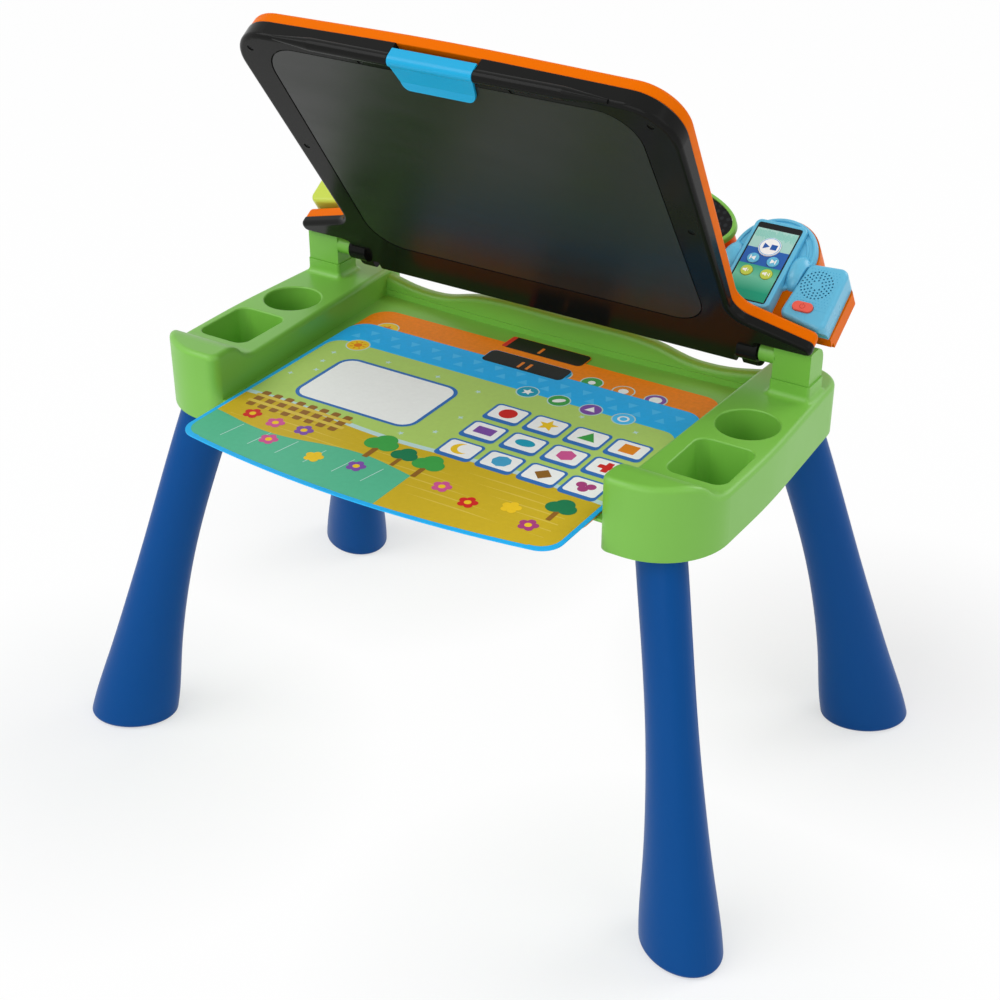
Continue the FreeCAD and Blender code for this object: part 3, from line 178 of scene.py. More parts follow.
# %% Floor
FLOOR_HALF = 9.0
FLOOR_DROP = 0.0004
floor_shape = bmesh.new()
bmesh.ops.create_grid(floor_shape, x_segments=1, y_segments=1, size=FLOOR_HALF)
bmesh.ops.translate(floor_shape, verts=floor_shape.verts[:], vec=(0, 0, -FLOOR_DROP))
floor_mesh = bpy.data.meshes.new("studio_floor")
floor_shape.to_mesh(floor_mesh)
floor_shape.free()
floor = bpy.data.objects.new("studio_floor", floor_mesh)
scene.collection.objects.link(floor)
floor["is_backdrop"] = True
print("floor is", 2 * FLOOR_HALF, "m wide")

# %% [markdown]
# Seen by the camera the floor is mostly plain white, as on a white sweep in a studio, and only near the feet
# does the ordinary pale floor show, with the table's shadow on it. The four feet stand nearly alike, so the
# distance to the nearest one needs only the plain sizes of x and y, without their signs.

# %% White sweep
FOOT_INSET = 0.04


def object_place(tree):
    """Coordinates of a point in its own object."""
    return tree.nodes.new("ShaderNodeTexCoord").outputs["Object"]


def ramp(tree, value, low, high, start=0.0, end=1.0):
    """Spreads the values between low and high over start to end."""
    node = tree.nodes.new("ShaderNodeMapRange")
    for label, number in (("From Min", low), ("From Max", high), ("To Min", start), ("To Max", end)):
        node.inputs[label].default_value = number
    tree.links.new(value, node.inputs["Value"])
    return node.outputs["Result"]


sweep = bpy.data.materials.new("white_sweep")
sweep.use_nodes = True
sweep_tree = sweep.node_tree
sweep_tree.nodes.clear()
pale = sweep_tree.nodes.new("ShaderNodeBsdfDiffuse")
pale.inputs["Color"].default_value = (0.96, 0.96, 0.96, 1)
bright = sweep_tree.nodes.new("ShaderNodeEmission")
bright.inputs["Strength"].default_value = 1.0
low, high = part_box("front_leg_right")
foot = (high.x - FOOT_INSET, FOOT_INSET - low.y, FLOOR_DROP)
unsigned = sweep_tree.nodes.new("ShaderNodeVectorMath")
unsigned.operation = "ABSOLUTE"
sweep_tree.links.new(object_place(sweep_tree), unsigned.inputs[0])
apart = sweep_tree.nodes.new("ShaderNodeVectorMath")
apart.operation = "DISTANCE"
apart.inputs[1].default_value = foot
sweep_tree.links.new(unsigned.outputs["Vector"], apart.inputs[0])
white_part = ramp(sweep_tree, apart.outputs["Value"], low=0.05, high=0.3, start=0.5, end=0.97)
share = calc(sweep_tree, "MULTIPLY", seen_ray(sweep_tree), white_part)
blend_shaders(sweep_tree, share, pale, bright, "ShaderNodeOutputMaterial")
floor_mesh.materials.append(sweep)
print("a foot stands at", [round(c, 3) for c in foot])

# %% [markdown]
# All the coloured plastic shares one effect: moulded plastic is never quite even. A fine grain comes from the
# mould, the colour clouds a little and the shine varies where hands have been. Built once as a node group, it
# can be placed in every material with other values. Only colour, roughness and height leave the group.

# %% Node group for moulded plastic
SURFACE = (("Colour", "NodeSocketColor"), ("Roughness", "NodeSocketFloat"), ("Height", "NodeSocketFloat"))
NOISE_MIDDLE = 0.5


def new_group(name, inputs):
    """A node group that gives out a surface, with its input and output nodes."""
    tree = bpy.data.node_groups.new(name, "ShaderNodeTree")
    for label, kind, value in inputs:
        tree.interface.new_socket(name=label, in_out="INPUT", socket_type=kind).default_value = value
    for label, kind in SURFACE:
        tree.interface.new_socket(name=label, in_out="OUTPUT", socket_type=kind)
    return tree, tree.nodes.new("NodeGroupInput"), tree.nodes.new("NodeGroupOutput")


def noise(tree, vector, scale, detail):
    """A noise texture; scale is a number or a socket."""
    node = tree.nodes.new("ShaderNodeTexNoise")
    node.inputs["Detail"].default_value = detail
    tree.links.new(vector, node.inputs["Vector"])
    feed(tree, node.inputs["Scale"], scale)
    return node.outputs["Fac"]


def varied(tree, value, spread, amount):
    """A value that a noise shifts up and down by an amount."""
    shift = calc(tree, "MULTIPLY", calc(tree, "SUBTRACT", spread, NOISE_MIDDLE), amount)
    return calc(tree, "ADD", value, shift)


def give_out(tree, output, colour, value, roughness, height):
    """Makes the colour lighter or darker by a value, and sends the surface out of the group."""
    tint = tree.nodes.new("ShaderNodeHueSaturation")
    tree.links.new(colour, tint.inputs["Color"])
    tree.links.new(value, tint.inputs["Value"])
    tree.links.new(tint.outputs["Color"], output.inputs["Colour"])
    tree.links.new(roughness, output.inputs["Roughness"])
    tree.links.new(height, output.inputs["Height"])


plastic_group, plastic_in, plastic_out = new_group(
    "MouldedPlastic",
    [("Colour", "NodeSocketColor", (0.5, 0.5, 0.5, 1)),
     ("Grain Scale", "NodeSocketFloat", 900.0),
     ("Clouding", "NodeSocketFloat", 0.05),
     ("Shine", "NodeSocketFloat", 0.4),
     ("Handling", "NodeSocketFloat", 0.12)])
setting = plastic_in.outputs
place = object_place(plastic_group)
grain = noise(plastic_group, place, setting["Grain Scale"], detail=2.0)
cloud = noise(plastic_group, place, scale=7.0, detail=3.0)
touch = noise(plastic_group, place, scale=22.0, detail=4.0)
value = varied(plastic_group, 1.0, cloud, setting["Clouding"])
shine = varied(plastic_group, setting["Shine"], touch, setting["Handling"])
give_out(plastic_group, plastic_out, setting["Colour"], value, shine, grain)
print("group", plastic_group.name, "has", len(plastic_group.nodes), "nodes")

# %% [markdown]
# A material for one plastic is then short: a Principled shader, the group and a Bump node. Colours are given
# as the ordinary 0 to 255 values of a paint program and turned into the linear values that shaders use.

# %% Plastic materials
BUMP_DEPTH = 0.0001


def shade(red, green, blue):
    """Linear colour for a paint-program colour."""
    def one(c):
        c /= 255
        return c / 12.92 if c <= 0.04045 else ((c + 0.055) / 1.055) ** 2.4
    return one(red), one(green), one(blue), 1.0


def blank(name):
    """A material with only a Principled shader in it, its node tree and that shader."""
    material = bpy.data.materials.new(name)
    material.use_nodes = True
    tree = material.node_tree
    return material, tree, tree.nodes["Principled BSDF"]


def add_bump(tree, shader, height, strength):
    bump = tree.nodes.new("ShaderNodeBump")
    bump.inputs["Strength"].default_value = strength
    bump.inputs["Distance"].default_value = BUMP_DEPTH
    tree.links.new(height, bump.inputs["Height"])
    tree.links.new(bump.outputs["Normal"], shader.inputs["Normal"])


def use_group(tree, shader, source, values, relief):
    """Places a node group in a material, sets its inputs and links its surface to the shader."""
    group = tree.nodes.new("ShaderNodeGroup")
    group.node_tree = source
    for label, value in values.items():
        group.inputs[label].default_value = value
    tree.links.new(group.outputs["Colour"], shader.inputs["Base Color"])
    tree.links.new(group.outputs["Roughness"], shader.inputs["Roughness"])
    add_bump(tree, shader, group.outputs["Height"], relief)


def moulded(name, colour, shine, gloss=0.35, grain=900.0, relief=0.12, coat=0.0):
    material, tree, shader = blank(name)
    shader.inputs["Coat Weight"].default_value = coat
    shader.inputs["Specular IOR Level"].default_value = gloss
    values = {"Colour": shade(*colour), "Grain Scale": grain, "Shine": shine}
    use_group(tree, shader, plastic_group, values, relief)
    return material


plastics = {
    "green_plastic": dict(colour=(122, 188, 70), shine=0.38, gloss=0.45),
    "blue_plastic": dict(colour=(0, 74, 142), shine=0.38, gloss=0.12),
    "black_plastic": dict(colour=(25, 25, 24), shine=0.18, gloss=0.07, grain=600.0, relief=0.05),
    "orange_plastic": dict(colour=(236, 110, 0), shine=0.34, gloss=0.03),
    "sky_plastic": dict(colour=(96, 188, 222), shine=0.28, gloss=0.45, relief=0.06),
    "clip_plastic": dict(colour=(18, 166, 214), shine=0.34, gloss=0.25, relief=0.08),
    "lime_plastic": dict(colour=(196, 214, 74), shine=0.36),
    "coral_plastic": dict(colour=(240, 96, 78), shine=0.42),
    "white_plastic": dict(colour=(244, 246, 248), shine=0.3),
    "grey_plastic": dict(colour=(78, 80, 84), shine=0.5),
    "pad_surface": dict(colour=(226, 230, 222), shine=0.22, relief=0.03, coat=0.4),
}
finishes = {name: moulded(name, **look) for name, look in plastics.items()}
print("plastics:", sorted(finishes))

# %% [markdown]
# The drawing board is a smooth writing sheet, nearly black, with the soft sheen of a blackboard: wipe marks
# make its shine uneven. The marks have to lie in the board, so a Mapping node turns the pattern by the angle
# that the lid stands open.

# %% Drawing board
NOISE_LOW = 0.3
NOISE_HIGH = 0.7
LID_OPEN = math.radians(56.0)
hinge = Vector(next(j for j in frame["joints"] if j["name"] == "lid_hinge")["pos_m"])
LID = Matrix.Translation(hinge) @ Matrix.Rotation(-LID_OPEN, 4, "X")


def turned_place(tree, origin, angle):
    """Object coordinates measured from a point, along axes turned about X."""
    mapping = tree.nodes.new("ShaderNodeMapping")
    mapping.vector_type = "TEXTURE"
    mapping.inputs["Location"].default_value = origin
    mapping.inputs["Rotation"].default_value = (angle, 0, 0)
    tree.links.new(object_place(tree), mapping.inputs["Vector"])
    return mapping.outputs["Vector"]


def scaled(tree, vector, scale):
    """Coordinates with a scale of its own for each axis."""
    mapping = tree.nodes.new("ShaderNodeMapping")
    mapping.inputs["Scale"].default_value = scale
    tree.links.new(vector, mapping.inputs["Vector"])
    return mapping.outputs["Vector"]


def uneven(tree, spread, start, end):
    """Spreads a noise, which keeps mostly to the middle of its range, over start to end."""
    return ramp(tree, spread, NOISE_LOW, NOISE_HIGH, start, end)


def mix(tree, mask, first, second):
    """First where the mask is 0 and second where it is 1; each a colour or a socket."""
    node = tree.nodes.new("ShaderNodeMix")
    node.data_type = "RGBA"
    tree.links.new(mask, node.inputs["Factor"])
    feed(tree, node.inputs[6], first)
    feed(tree, node.inputs[7], second)
    return node.outputs[2]


board, tree, shader = blank("board_surface")
across = turned_place(tree, hinge, -LID_OPEN)
wipes = noise(tree, scaled(tree, across, (4.0, 16.0, 4.0)), scale=2.0, detail=5.0)
fine_grain = noise(tree, across, scale=1400.0, detail=2.0)
shader.inputs["Specular IOR Level"].default_value = 0.35
tree.links.new(mix(tree, wipes, shade(30, 31, 30), shade(38, 40, 38)), shader.inputs["Base Color"])
tree.links.new(uneven(tree, wipes, 0.3, 0.4), shader.inputs["Roughness"])
add_bump(tree, shader, fine_grain, strength=0.04)
finishes["board_surface"] = board
print("board ready; the lid stands at", round(math.degrees(LID_OPEN)), "degrees")

# %% [markdown]
# The display lens is smoked plastic with a fine grid of lamps just visible behind it. The Ping-Pong operation
# folds a coordinate back and forth, so the distance from the folds gives a dot at every crossing of the grid.

# %% Display lens
LAMP_PITCH = 0.0065
LAMP_CORE = 0.0016
LAMP_EDGE = 0.0022
lens_finish, tree, shader = blank("dark_lens")
grid_place = turned_place(tree, hinge, -LID_OPEN)
axes = tree.nodes.new("ShaderNodeSeparateXYZ")
tree.links.new(grid_place, axes.inputs[0])
columns = calc(tree, "PINGPONG", axes.outputs["X"], LAMP_PITCH / 2)
rows = calc(tree, "PINGPONG", axes.outputs["Z"], LAMP_PITCH / 2)
columns_squared = calc(tree, "MULTIPLY", columns, columns)
rows_squared = calc(tree, "MULTIPLY", rows, rows)
reach = calc(tree, "SQRT", calc(tree, "ADD", columns_squared, rows_squared))
dots = ramp(tree, reach, LAMP_CORE, LAMP_EDGE, start=1.0, end=0.0)
smears = noise(tree, grid_place, scale=18.0, detail=3.0)
tree.links.new(mix(tree, dots, shade(10, 11, 12), shade(34, 38, 40)), shader.inputs["Base Color"])
tree.links.new(uneven(tree, smears, 0.1, 0.2), shader.inputs["Roughness"])
shader.inputs["Specular IOR Level"].default_value = 0.15
finishes["dark_lens"] = lens_finish
print("lens has", len(tree.nodes), "nodes")

# %% [markdown]
# Metal shows in few places: pins, spring and screws. Turned steel has fine marks round it, so a noise
# squeezed along one axis drives its roughness. Boards of the electronics and the cells get plain but not flat
# finishes.

# %% Metal and inner pieces
MARK_SCALE = (2600.0, 160.0, 160.0)
MARK_DARKNESS = 0.8
STEEL_SPREAD = 0.08
SPECKLE_SPREAD = 0.1


def turned_steel(name, colour, shine):
    material, tree, shader = blank(name)
    marks = noise(tree, scaled(tree, object_place(tree), MARK_SCALE), scale=1.0, detail=2.0)
    shader.inputs["Metallic"].default_value = 1.0
    dark = tuple(c * MARK_DARKNESS for c in shade(*colour)[:3]) + (1.0,)
    tree.links.new(mix(tree, marks, dark, shade(*colour)), shader.inputs["Base Color"])
    roughness = uneven(tree, marks, shine - STEEL_SPREAD, shine + STEEL_SPREAD)
    tree.links.new(roughness, shader.inputs["Roughness"])
    return material


def speckled(name, first, second, scale, shine):
    material, tree, shader = blank(name)
    spots = ramp(tree, noise(tree, object_place(tree), scale, detail=3.0), low=0.45, high=0.6)
    tree.links.new(mix(tree, spots, shade(*first), shade(*second)), shader.inputs["Base Color"])
    roughness = ramp(tree, spots, 0.0, 1.0, shine - SPECKLE_SPREAD, shine + SPECKLE_SPREAD)
    tree.links.new(roughness, shader.inputs["Roughness"])
    return material


finishes["steel"] = turned_steel("steel", (196, 198, 200), shine=0.3)
finishes["dark_steel"] = turned_steel("dark_steel", (58, 58, 60), shine=0.4)
finishes["circuit"] = speckled("circuit", (18, 96, 58), (30, 122, 74), scale=320.0, shine=0.4)
finishes["cell_wrap"] = speckled("cell_wrap", (70, 72, 78), (96, 98, 104), scale=90.0, shine=0.35)
print("metal and inner finishes added")

# %% [markdown]
# The phone's screen is a printed panel: a black edge, a pale field with sound bars, a blue band and a green
# field. All of it follows from two measurements, across and up the phone, so it is drawn by the material
# itself. The phone leans back a little from the console's face.

# %% Phone screen
PHONE_LEAN = math.atan2(7.0, 93.5)
PHONE_FOOT = (0.195, -0.030, 0.024)
PHONE = LID @ Matrix.Translation(PHONE_FOOT) @ Matrix.Rotation(-PHONE_LEAN, 4, "X")
GLOW_UP = 0.030
GLOW_REACH = 0.016
BAND_LOW = 0.0425
BAND_HIGH = 0.0612
BARS_UP = 0.0775
BAR_PITCH = 0.0008
SCREEN_MIDDLE = 0.0442
SCREEN_HALF_WIDTH = 0.0198
SCREEN_HALF_HEIGHT = 0.0393


def distance(tree, value, middle):
    """How far a value lies from a middle, to either side."""
    return calc(tree, "ABSOLUTE", calc(tree, "SUBTRACT", value, middle))


screen, tree, shader = blank("screen_print")
on_phone = turned_place(tree, PHONE.translation, -LID_OPEN - PHONE_LEAN)
axes = tree.nodes.new("ShaderNodeSeparateXYZ")
tree.links.new(on_phone, axes.inputs[0])
side = axes.outputs["X"]
up = axes.outputs["Z"]
glow = ramp(tree, distance(tree, up, GLOW_UP), 0.0, GLOW_REACH)
lower = mix(tree, glow, shade(112, 200, 165), shade(24, 158, 122))
beat = tree.nodes.new("ShaderNodeTexNoise")
beat.noise_dimensions = "1D"
beat.inputs["Scale"].default_value = 420.0
tree.links.new(calc(tree, "SNAP", side, BAR_PITCH), beat.inputs["W"])
tall = uneven(tree, beat.outputs["Fac"], 0.001, 0.007)
bar = calc(tree, "LESS_THAN", distance(tree, up, BARS_UP), tall)
gap = calc(tree, "LESS_THAN", calc(tree, "PINGPONG", side, BAR_PITCH / 2), BAR_PITCH / 4)
upper = mix(tree, calc(tree, "MULTIPLY", bar, gap), shade(172, 218, 206), shade(118, 200, 182))
picture = mix(tree, calc(tree, "GREATER_THAN", up, BAND_LOW), lower, shade(40, 98, 178))
picture = mix(tree, calc(tree, "GREATER_THAN", up, BAND_HIGH), picture, upper)
edge_x = calc(tree, "GREATER_THAN", calc(tree, "ABSOLUTE", side), SCREEN_HALF_WIDTH)
edge_z = calc(tree, "GREATER_THAN", distance(tree, up, SCREEN_MIDDLE), SCREEN_HALF_HEIGHT)
picture = mix(tree, calc(tree, "MAXIMUM", edge_x, edge_z), picture, shade(12, 13, 15))
smears = noise(tree, on_phone, scale=60.0, detail=3.0)
tree.links.new(picture, shader.inputs["Base Color"])
tree.links.new(uneven(tree, smears, 0.16, 0.24), shader.inputs["Roughness"])
shader.inputs["Specular IOR Level"].default_value = 0.2
finishes["screen_print"] = screen
print("screen print has", len(tree.nodes), "nodes")

# %% [markdown]
# The activity pages are coated card. Print on card shows a faint fibre and tiny differences in how the ink
# took. That is a second node group, used by the card's own colour and by every ink that lies on it.

# %% Printed card
CARD_RELIEF = 0.05
card_group, card_in, card_out = new_group(
    "PrintedCard",
    [("Ink", "NodeSocketColor", (0.5, 0.5, 0.5, 1)), ("Speckle", "NodeSocketFloat", 0.1)])
setting = card_in.outputs
place = object_place(card_group)
fibre = noise(card_group, place, scale=900.0, detail=3.0)
take = noise(card_group, place, scale=260.0, detail=4.0)
value = varied(card_group, 1.0, take, setting["Speckle"])
roughness = uneven(card_group, fibre, 0.36, 0.46)
give_out(card_group, card_out, setting["Ink"], value, roughness, fibre)


def printed(name, colour, speckle=0.1):
    material, tree, shader = blank(name)
    shader.inputs["Specular IOR Level"].default_value = 0.1
    use_group(tree, shader, card_group, {"Ink": shade(*colour), "Speckle": speckle}, CARD_RELIEF)
    return material


finishes["blue_card"] = printed("blue_card", (46, 184, 248), speckle=0.16)
finishes["orange_card"] = printed("orange_card", (246, 136, 14), speckle=0.3)
print("card finishes ready")

# %% [markdown]
# The record says which finish each CAD piece takes. One loop puts the new materials in the slots of the CAD
# objects, and nothing else about those objects changes.

# %% Dress the CAD pieces
for row in frame["record"]["subparts"]:
    slots = nodes[row["node"]].data.materials
    slots.clear()
    slots.append(finishes[row["material_slot"]])

# %% [markdown]
# Artwork needs inks. Each is a printed material of its own, and the order of this table is the order of the
# material slots on every printed film.

# %% Inks
ink_colours = {
    "white": (252, 252, 248), "cream": (252, 253, 247), "meadow": (184, 216, 112), "leaf": (70, 168, 78),
    "pine": (40, 128, 84), "lawn": (92, 190, 148), "ochre": (210, 180, 44), "straw": (222, 196, 80),
    "bark": (150, 104, 44), "navy": (44, 92, 170), "royal": (58, 118, 190), "aqua": (40, 164, 190),
    "mint": (196, 226, 220), "plum": (132, 84, 170), "pink": (214, 92, 150), "rose": (176, 70, 128),
    "red": (214, 48, 44), "tangerine": (238, 142, 36), "sun": (246, 204, 44), "ink_black": (22, 22, 24),
    "wave": (82, 200, 254), "amber": (236, 132, 40), "deep_sky": (76, 168, 208),
    "deep_coral": (206, 68, 58), "key_blue": (82, 168, 224),
}
inks = {name: printed("ink_" + name, colour) for name, colour in ink_colours.items()}
print("inks:", len(inks))

# %% [markdown]
# Flat artwork is made from a few stamps: disc, card with round corners, star and wavy band. Each stamp is a
# flat face made by a bmesh operator. It takes a place and sizes in millimetres, an ink and a level: a higher
# level lies a few hundredths of a millimetre higher, as ink on ink.

# %% Stamps
FILM = 0.00003
CORNER_STEPS = 6
BAND_STEPS = 36
PAGE_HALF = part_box("upper_page")[1].x


def spot(x, y, turn):
    """A place on the sheet, in millimetres, with a turn about it."""
    return Matrix.Translation((x * MM, y * MM, 0)) @ Matrix.Rotation(turn, 4, "Z")


def laid(made, tone, level):
    """Gives newly made faces their ink and their height in the film."""
    for vert in made:
        vert.co.z = level * FILM
    for face in {f for v in made for f in v.link_faces}:
        face.material_index = list(inks).index(tone)
    return made


def disc(sheet, x, y, radius, tone, level, squash=1.0, turn=0.0, sides=40):
    where = spot(x, y, turn) @ Matrix.Diagonal((1, squash, 1, 1))
    made = bmesh.ops.create_circle(sheet, cap_ends=True, segments=sides, radius=radius * MM, matrix=where)
    return laid(made["verts"], tone, level)


def tile(sheet, x, y, width, height, corner, tone, level, turn=0.0):
    where = spot(x, y, turn) @ Matrix.Diagonal((width * MM / 2, height * MM / 2, 1, 1))
    made = bmesh.ops.create_grid(sheet, x_segments=1, y_segments=1, size=1.0, matrix=where)["verts"]
    if corner:
        made = bmesh.ops.bevel(sheet, geom=made, offset=corner * MM, offset_type="OFFSET", affect="VERTICES",
                               segments=CORNER_STEPS, profile=0.5, material=-1)["verts"]
    laid(made, tone, level)


def star(sheet, x, y, radius, tone, level, points=5, waist=0.45, turn=0.0):
    made = disc(sheet, x, y, radius, tone, level, sides=2 * points, turn=turn)
    middle = Vector((x * MM, y * MM, level * FILM))
    for vert in made[1::2]:
        vert.co = middle.lerp(vert.co, waist)


def band(sheet, x0, x1, y0, y1, tone, level, swell=0.0, waves=2.0, phase=0.0, sag=0.0):
    """A strip whose upper edge rolls like low hills; its lower edge may follow the page's bowed front."""
    size = ((x1 - x0) * MM / 2, (y1 - y0) * MM / 2)
    where = Matrix.Translation(((x0 + x1) * MM / 2, (y0 + y1) * MM / 2, 0)) @ Matrix.Diagonal((*size, 1, 1))
    made = bmesh.ops.create_grid(sheet, x_segments=BAND_STEPS, y_segments=1, size=1.0, matrix=where)["verts"]
    for vert in made:
        if vert.co.y > (y0 + y1) * MM / 2:
            along = (vert.co.x / MM - x0) / (x1 - x0)
            vert.co.y += swell * MM * math.sin(2 * math.pi * waves * along + phase)
        else:
            vert.co.y -= sag * MM * (1 - (vert.co.x / PAGE_HALF) ** 2)
    laid(made, tone, level)


print("stamps lie", round(FILM / MM, 3), "mm apart for each level")

# %% [markdown]
# When all stamps of a film are laid, it gets its thickness, is moved onto its piece and becomes an object
# that rides on that piece's body. Solidify and Spin add faces in an order that can change from run to run, so
# the faces are sorted by where they lie.

# %% Place a film
INK_THICKNESS = FILM * 0.7


def sort_faces(sheet):
    in_order = sorted(sheet.faces, key=lambda face: face.calc_center_median()[:])
    for rank, face in enumerate(in_order):
        face.index = rank
    sheet.faces.sort()


def place_print(sheet, name, where, body):
    bmesh.ops.solidify(sheet, geom=sheet.faces[:], thickness=INK_THICKNESS)
    bmesh.ops.recalc_face_normals(sheet, faces=sheet.faces[:])
    bmesh.ops.transform(sheet, matrix=where, verts=sheet.verts[:])
    sort_faces(sheet)
    mesh = bpy.data.meshes.new(name)
    sheet.to_mesh(mesh)
    sheet.free()
    for material in inks.values():
        mesh.materials.append(material)
    piece = bpy.data.objects.new(name, mesh)
    scene.collection.objects.link(piece)
    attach(piece, body)
    print(name, "has", len(mesh.polygons), "faces")


print("ink is", round(INK_THICKNESS / MM, 3), "mm thick")

# %% [markdown]
# The upper page shows a garden: a meadow, a field with furrows, a lawn, a big blank card to draw on, and
# framed cards with simple shapes to name. Everything is placed in millimetres from the middle of the page's
# front edge, level with its corners. The edge itself bows out past that by PAGE_BOW.

# %% Upper page: ground and cards
PAGE_BOW = 18.0
PRINT_HALF = 186
FRONT_HALF = 167
LAWN_END = 28
CARD_COLUMNS = (38, 79, 120, 160)
CARD_ROWS = (176, 138, 100)
CARD_WIDTH = 36.0
CARD_HEIGHT = 32.0


def framed(sheet, x, y):
    """A white card in a blue frame that is widest below."""
    tile(sheet, x, y, CARD_WIDTH, CARD_HEIGHT, 5.0, "royal", 5.5)
    tile(sheet, x, y + 1.6, CARD_WIDTH - 5.0, CARD_HEIGHT - 8.0, 3.5, "white", 6)


page = bmesh.new()
tile(page, 0, 114, 2 * PRINT_HALF, 219, 16.0, "meadow", 1)
band(page, -PRINT_HALF, PRINT_HALF, 82, 92, "mint", 2, swell=4.0, waves=1.5, phase=0.6)
tile(page, 0, 32.5, 2 * PRINT_HALF, 62, 19.0, "ochre", 2.5)
band(page, -PRINT_HALF, PRINT_HALF, 40, 86, "ochre", 3, swell=4.0, waves=1.5, phase=0.6)
band(page, -FRONT_HALF, FRONT_HALF, 4.5, 50, "ochre", 3.4, sag=PAGE_BOW)
for i in range(6):
    band(page, -172, 172, 16 + 11 * i, 16.7 + 11 * i, "straw", 4, swell=0.8, waves=3.0, phase=i)
tile(page, -79, 19.5, 214, 36, 17.0, "lawn", 4.6)
band(page, -PRINT_HALF, LAWN_END, 20, 44, "lawn", 5, swell=6.0, waves=1.2, phase=2.4)
band(page, -FRONT_HALF, LAWN_END, 4.5, 22, "lawn", 5.2, sag=PAGE_BOW)
for x in range(-150, 20, 30):
    tile(page, x, 25, 0.7, 27, 0, "mint", 6, turn=-0.18)
tile(page, -86, 151, 132, 90, 16.0, "royal", 5)
tile(page, -86, 151, 125, 83, 13.0, "cream", 5.4)
for x in CARD_COLUMNS:
    for y in CARD_ROWS:
        framed(page, x, y)
print("page groundwork laid")

# %% [markdown]
# Each framed card gets one shape. A disc with three, six or eight sides is a triangle, a hexagon or an
# octagon, and a moon is a disc with a white one over its edge. The shapes sit a little above the middle.

# %% Upper page: shapes on the cards
left, second, third, right = CARD_COLUMNS
top, middle, bottom = [y + 2 for y in CARD_ROWS]
disc(page, left, top, 8.5, "red", 7)
star(page, second, top, 10.0, "sun", 7)
disc(page, third, top - 1, 10.0, "leaf", 7, sides=3)
tile(page, right, top, 15.0, 15.0, 1.0, "tangerine", 7)
tile(page, left, middle, 19.0, 12.0, 1.0, "plum", 7)
disc(page, second, middle, 9.5, "aqua", 7, squash=0.62)
disc(page, third, middle, 9.0, "pink", 7, sides=6)
tile(page, right, middle, 6.0, 17.0, 1.0, "red", 7)
tile(page, right, middle, 17.0, 6.0, 1.0, "red", 7.3)
disc(page, left, bottom, 9.0, "sun", 7)
disc(page, left + 4, bottom + 2, 7.6, "white", 7.4)
disc(page, second, bottom, 9.0, "deep_sky", 7, sides=8)
tile(page, third, bottom, 12.0, 12.0, 0.8, "bark", 7, turn=math.pi / 4)
for i, (dx, dy) in enumerate(((-4.5, 2.5), (4.5, 2.5), (0, -3.5))):
    disc(page, right + dx, bottom + dy, 4.6, "rose", 7 + 0.2 * i)
print("cards filled:", len(CARD_COLUMNS) * len(CARD_ROWS))

# %% [markdown]
# Flowers, trees, a fence and small stars fill the garden. A flower is five petals round a yellow middle, and
# a tree is a trunk with three discs for its crown. Each disc lies a little higher than the one before, so no
# two faces share a height.

# %% Upper page: garden
PETALS = 5
CROWN = ((-0.5, 0.0, 0.75), (0.5, 0.05, 0.72), (0.0, 0.55, 0.8))  # x, y and radius, as shares of the size


def flower(sheet, x, y, size, tone, level):
    for i in range(PETALS):
        angle = 2 * math.pi * i / PETALS + 0.3
        petal_x = x + size * math.cos(angle)
        petal_y = y + size * math.sin(angle)
        disc(sheet, petal_x, petal_y, size * 0.72, tone, level + 0.2 * i, sides=20)
    disc(sheet, x, y, size * 0.6, "sun", level + 1.4, sides=20)


def tree_crown(sheet, x, y, size, tone, level):
    tile(sheet, x, y - size * 1.2, size * 0.42, size * 1.5, 0.8, "bark", level)
    for i, (dx, dy, radius) in enumerate(CROWN):
        disc(sheet, x + dx * size, y + dy * size, radius * size, tone, level + 1 + 0.2 * i)


flowers = ((-154, 58, "red"), (-126, 55, "pink"), (-96, 57, "plum"), (60, 40, "pink"), (92, 30, "red"),
           (126, 42, "sun"), (-60, 24, "sun"), (-112, 28, "pink"), (-20, 30, "plum"), (152, 26, "rose"))
trees = ((-24, 72, 13.0, "leaf"), (4, 66, 10.0, "pine"), (30, 64, 12.0, "leaf"), (161, 62, 11.0, "pine"))
small_stars = ((-168, 196), (-166, 176), (-160, 158), (-8, 200), (6, 150), (2, 116), (-176, 140),
               (96, 208), (150, 208), (-112, 206), (-56, 206), (-22, 98))
for x, y, tone in flowers:
    flower(page, x, y, 5.2, tone, 8)
for x, y, size, tone in trees:
    tree_crown(page, x, y, size, tone, 7)
for x in range(-168, -70, 13):
    tile(page, x, 84, 8.0, 30.0, 2.0, "bark", 7)
for y in (90, 78):
    tile(page, -122, y, 106.0, 4.5, 1.0, "straw", 8)
for i, (x, y) in enumerate(small_stars):
    star(page, x, y, 3.4, "mint", 1.6, points=4 + i % 2, waist=0.4, turn=0.3 * i)
print("flowers:", len(flowers), "trees:", len(trees), "stars:", len(small_stars))

# %% [markdown]
# The heading is the card's own blue with light triangles in it. Round badges sit on its lower edge, and the
# page ends in a black tab to pull it by.

# %% Upper page: heading and tab
BADGE_Y = 224
SUN_X = -158
SUN_Y = 221
TAB = (0, 270.4, 87.0, 24.4, 5.5)  # x, y, width, height and corner
STROKE = (268, 3.0, 12.0, 0.8)  # y, width, height and corner


def badge(sheet, x, y, tone, radius=11.0, level=3):
    disc(sheet, x, y, radius, "mint", level)
    disc(sheet, x, y, radius - 1.2, tone, level + 1)


def on_page(node):
    low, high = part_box(node)
    return Matrix.Translation((0, low.y + PAGE_BOW * MM, high.z))


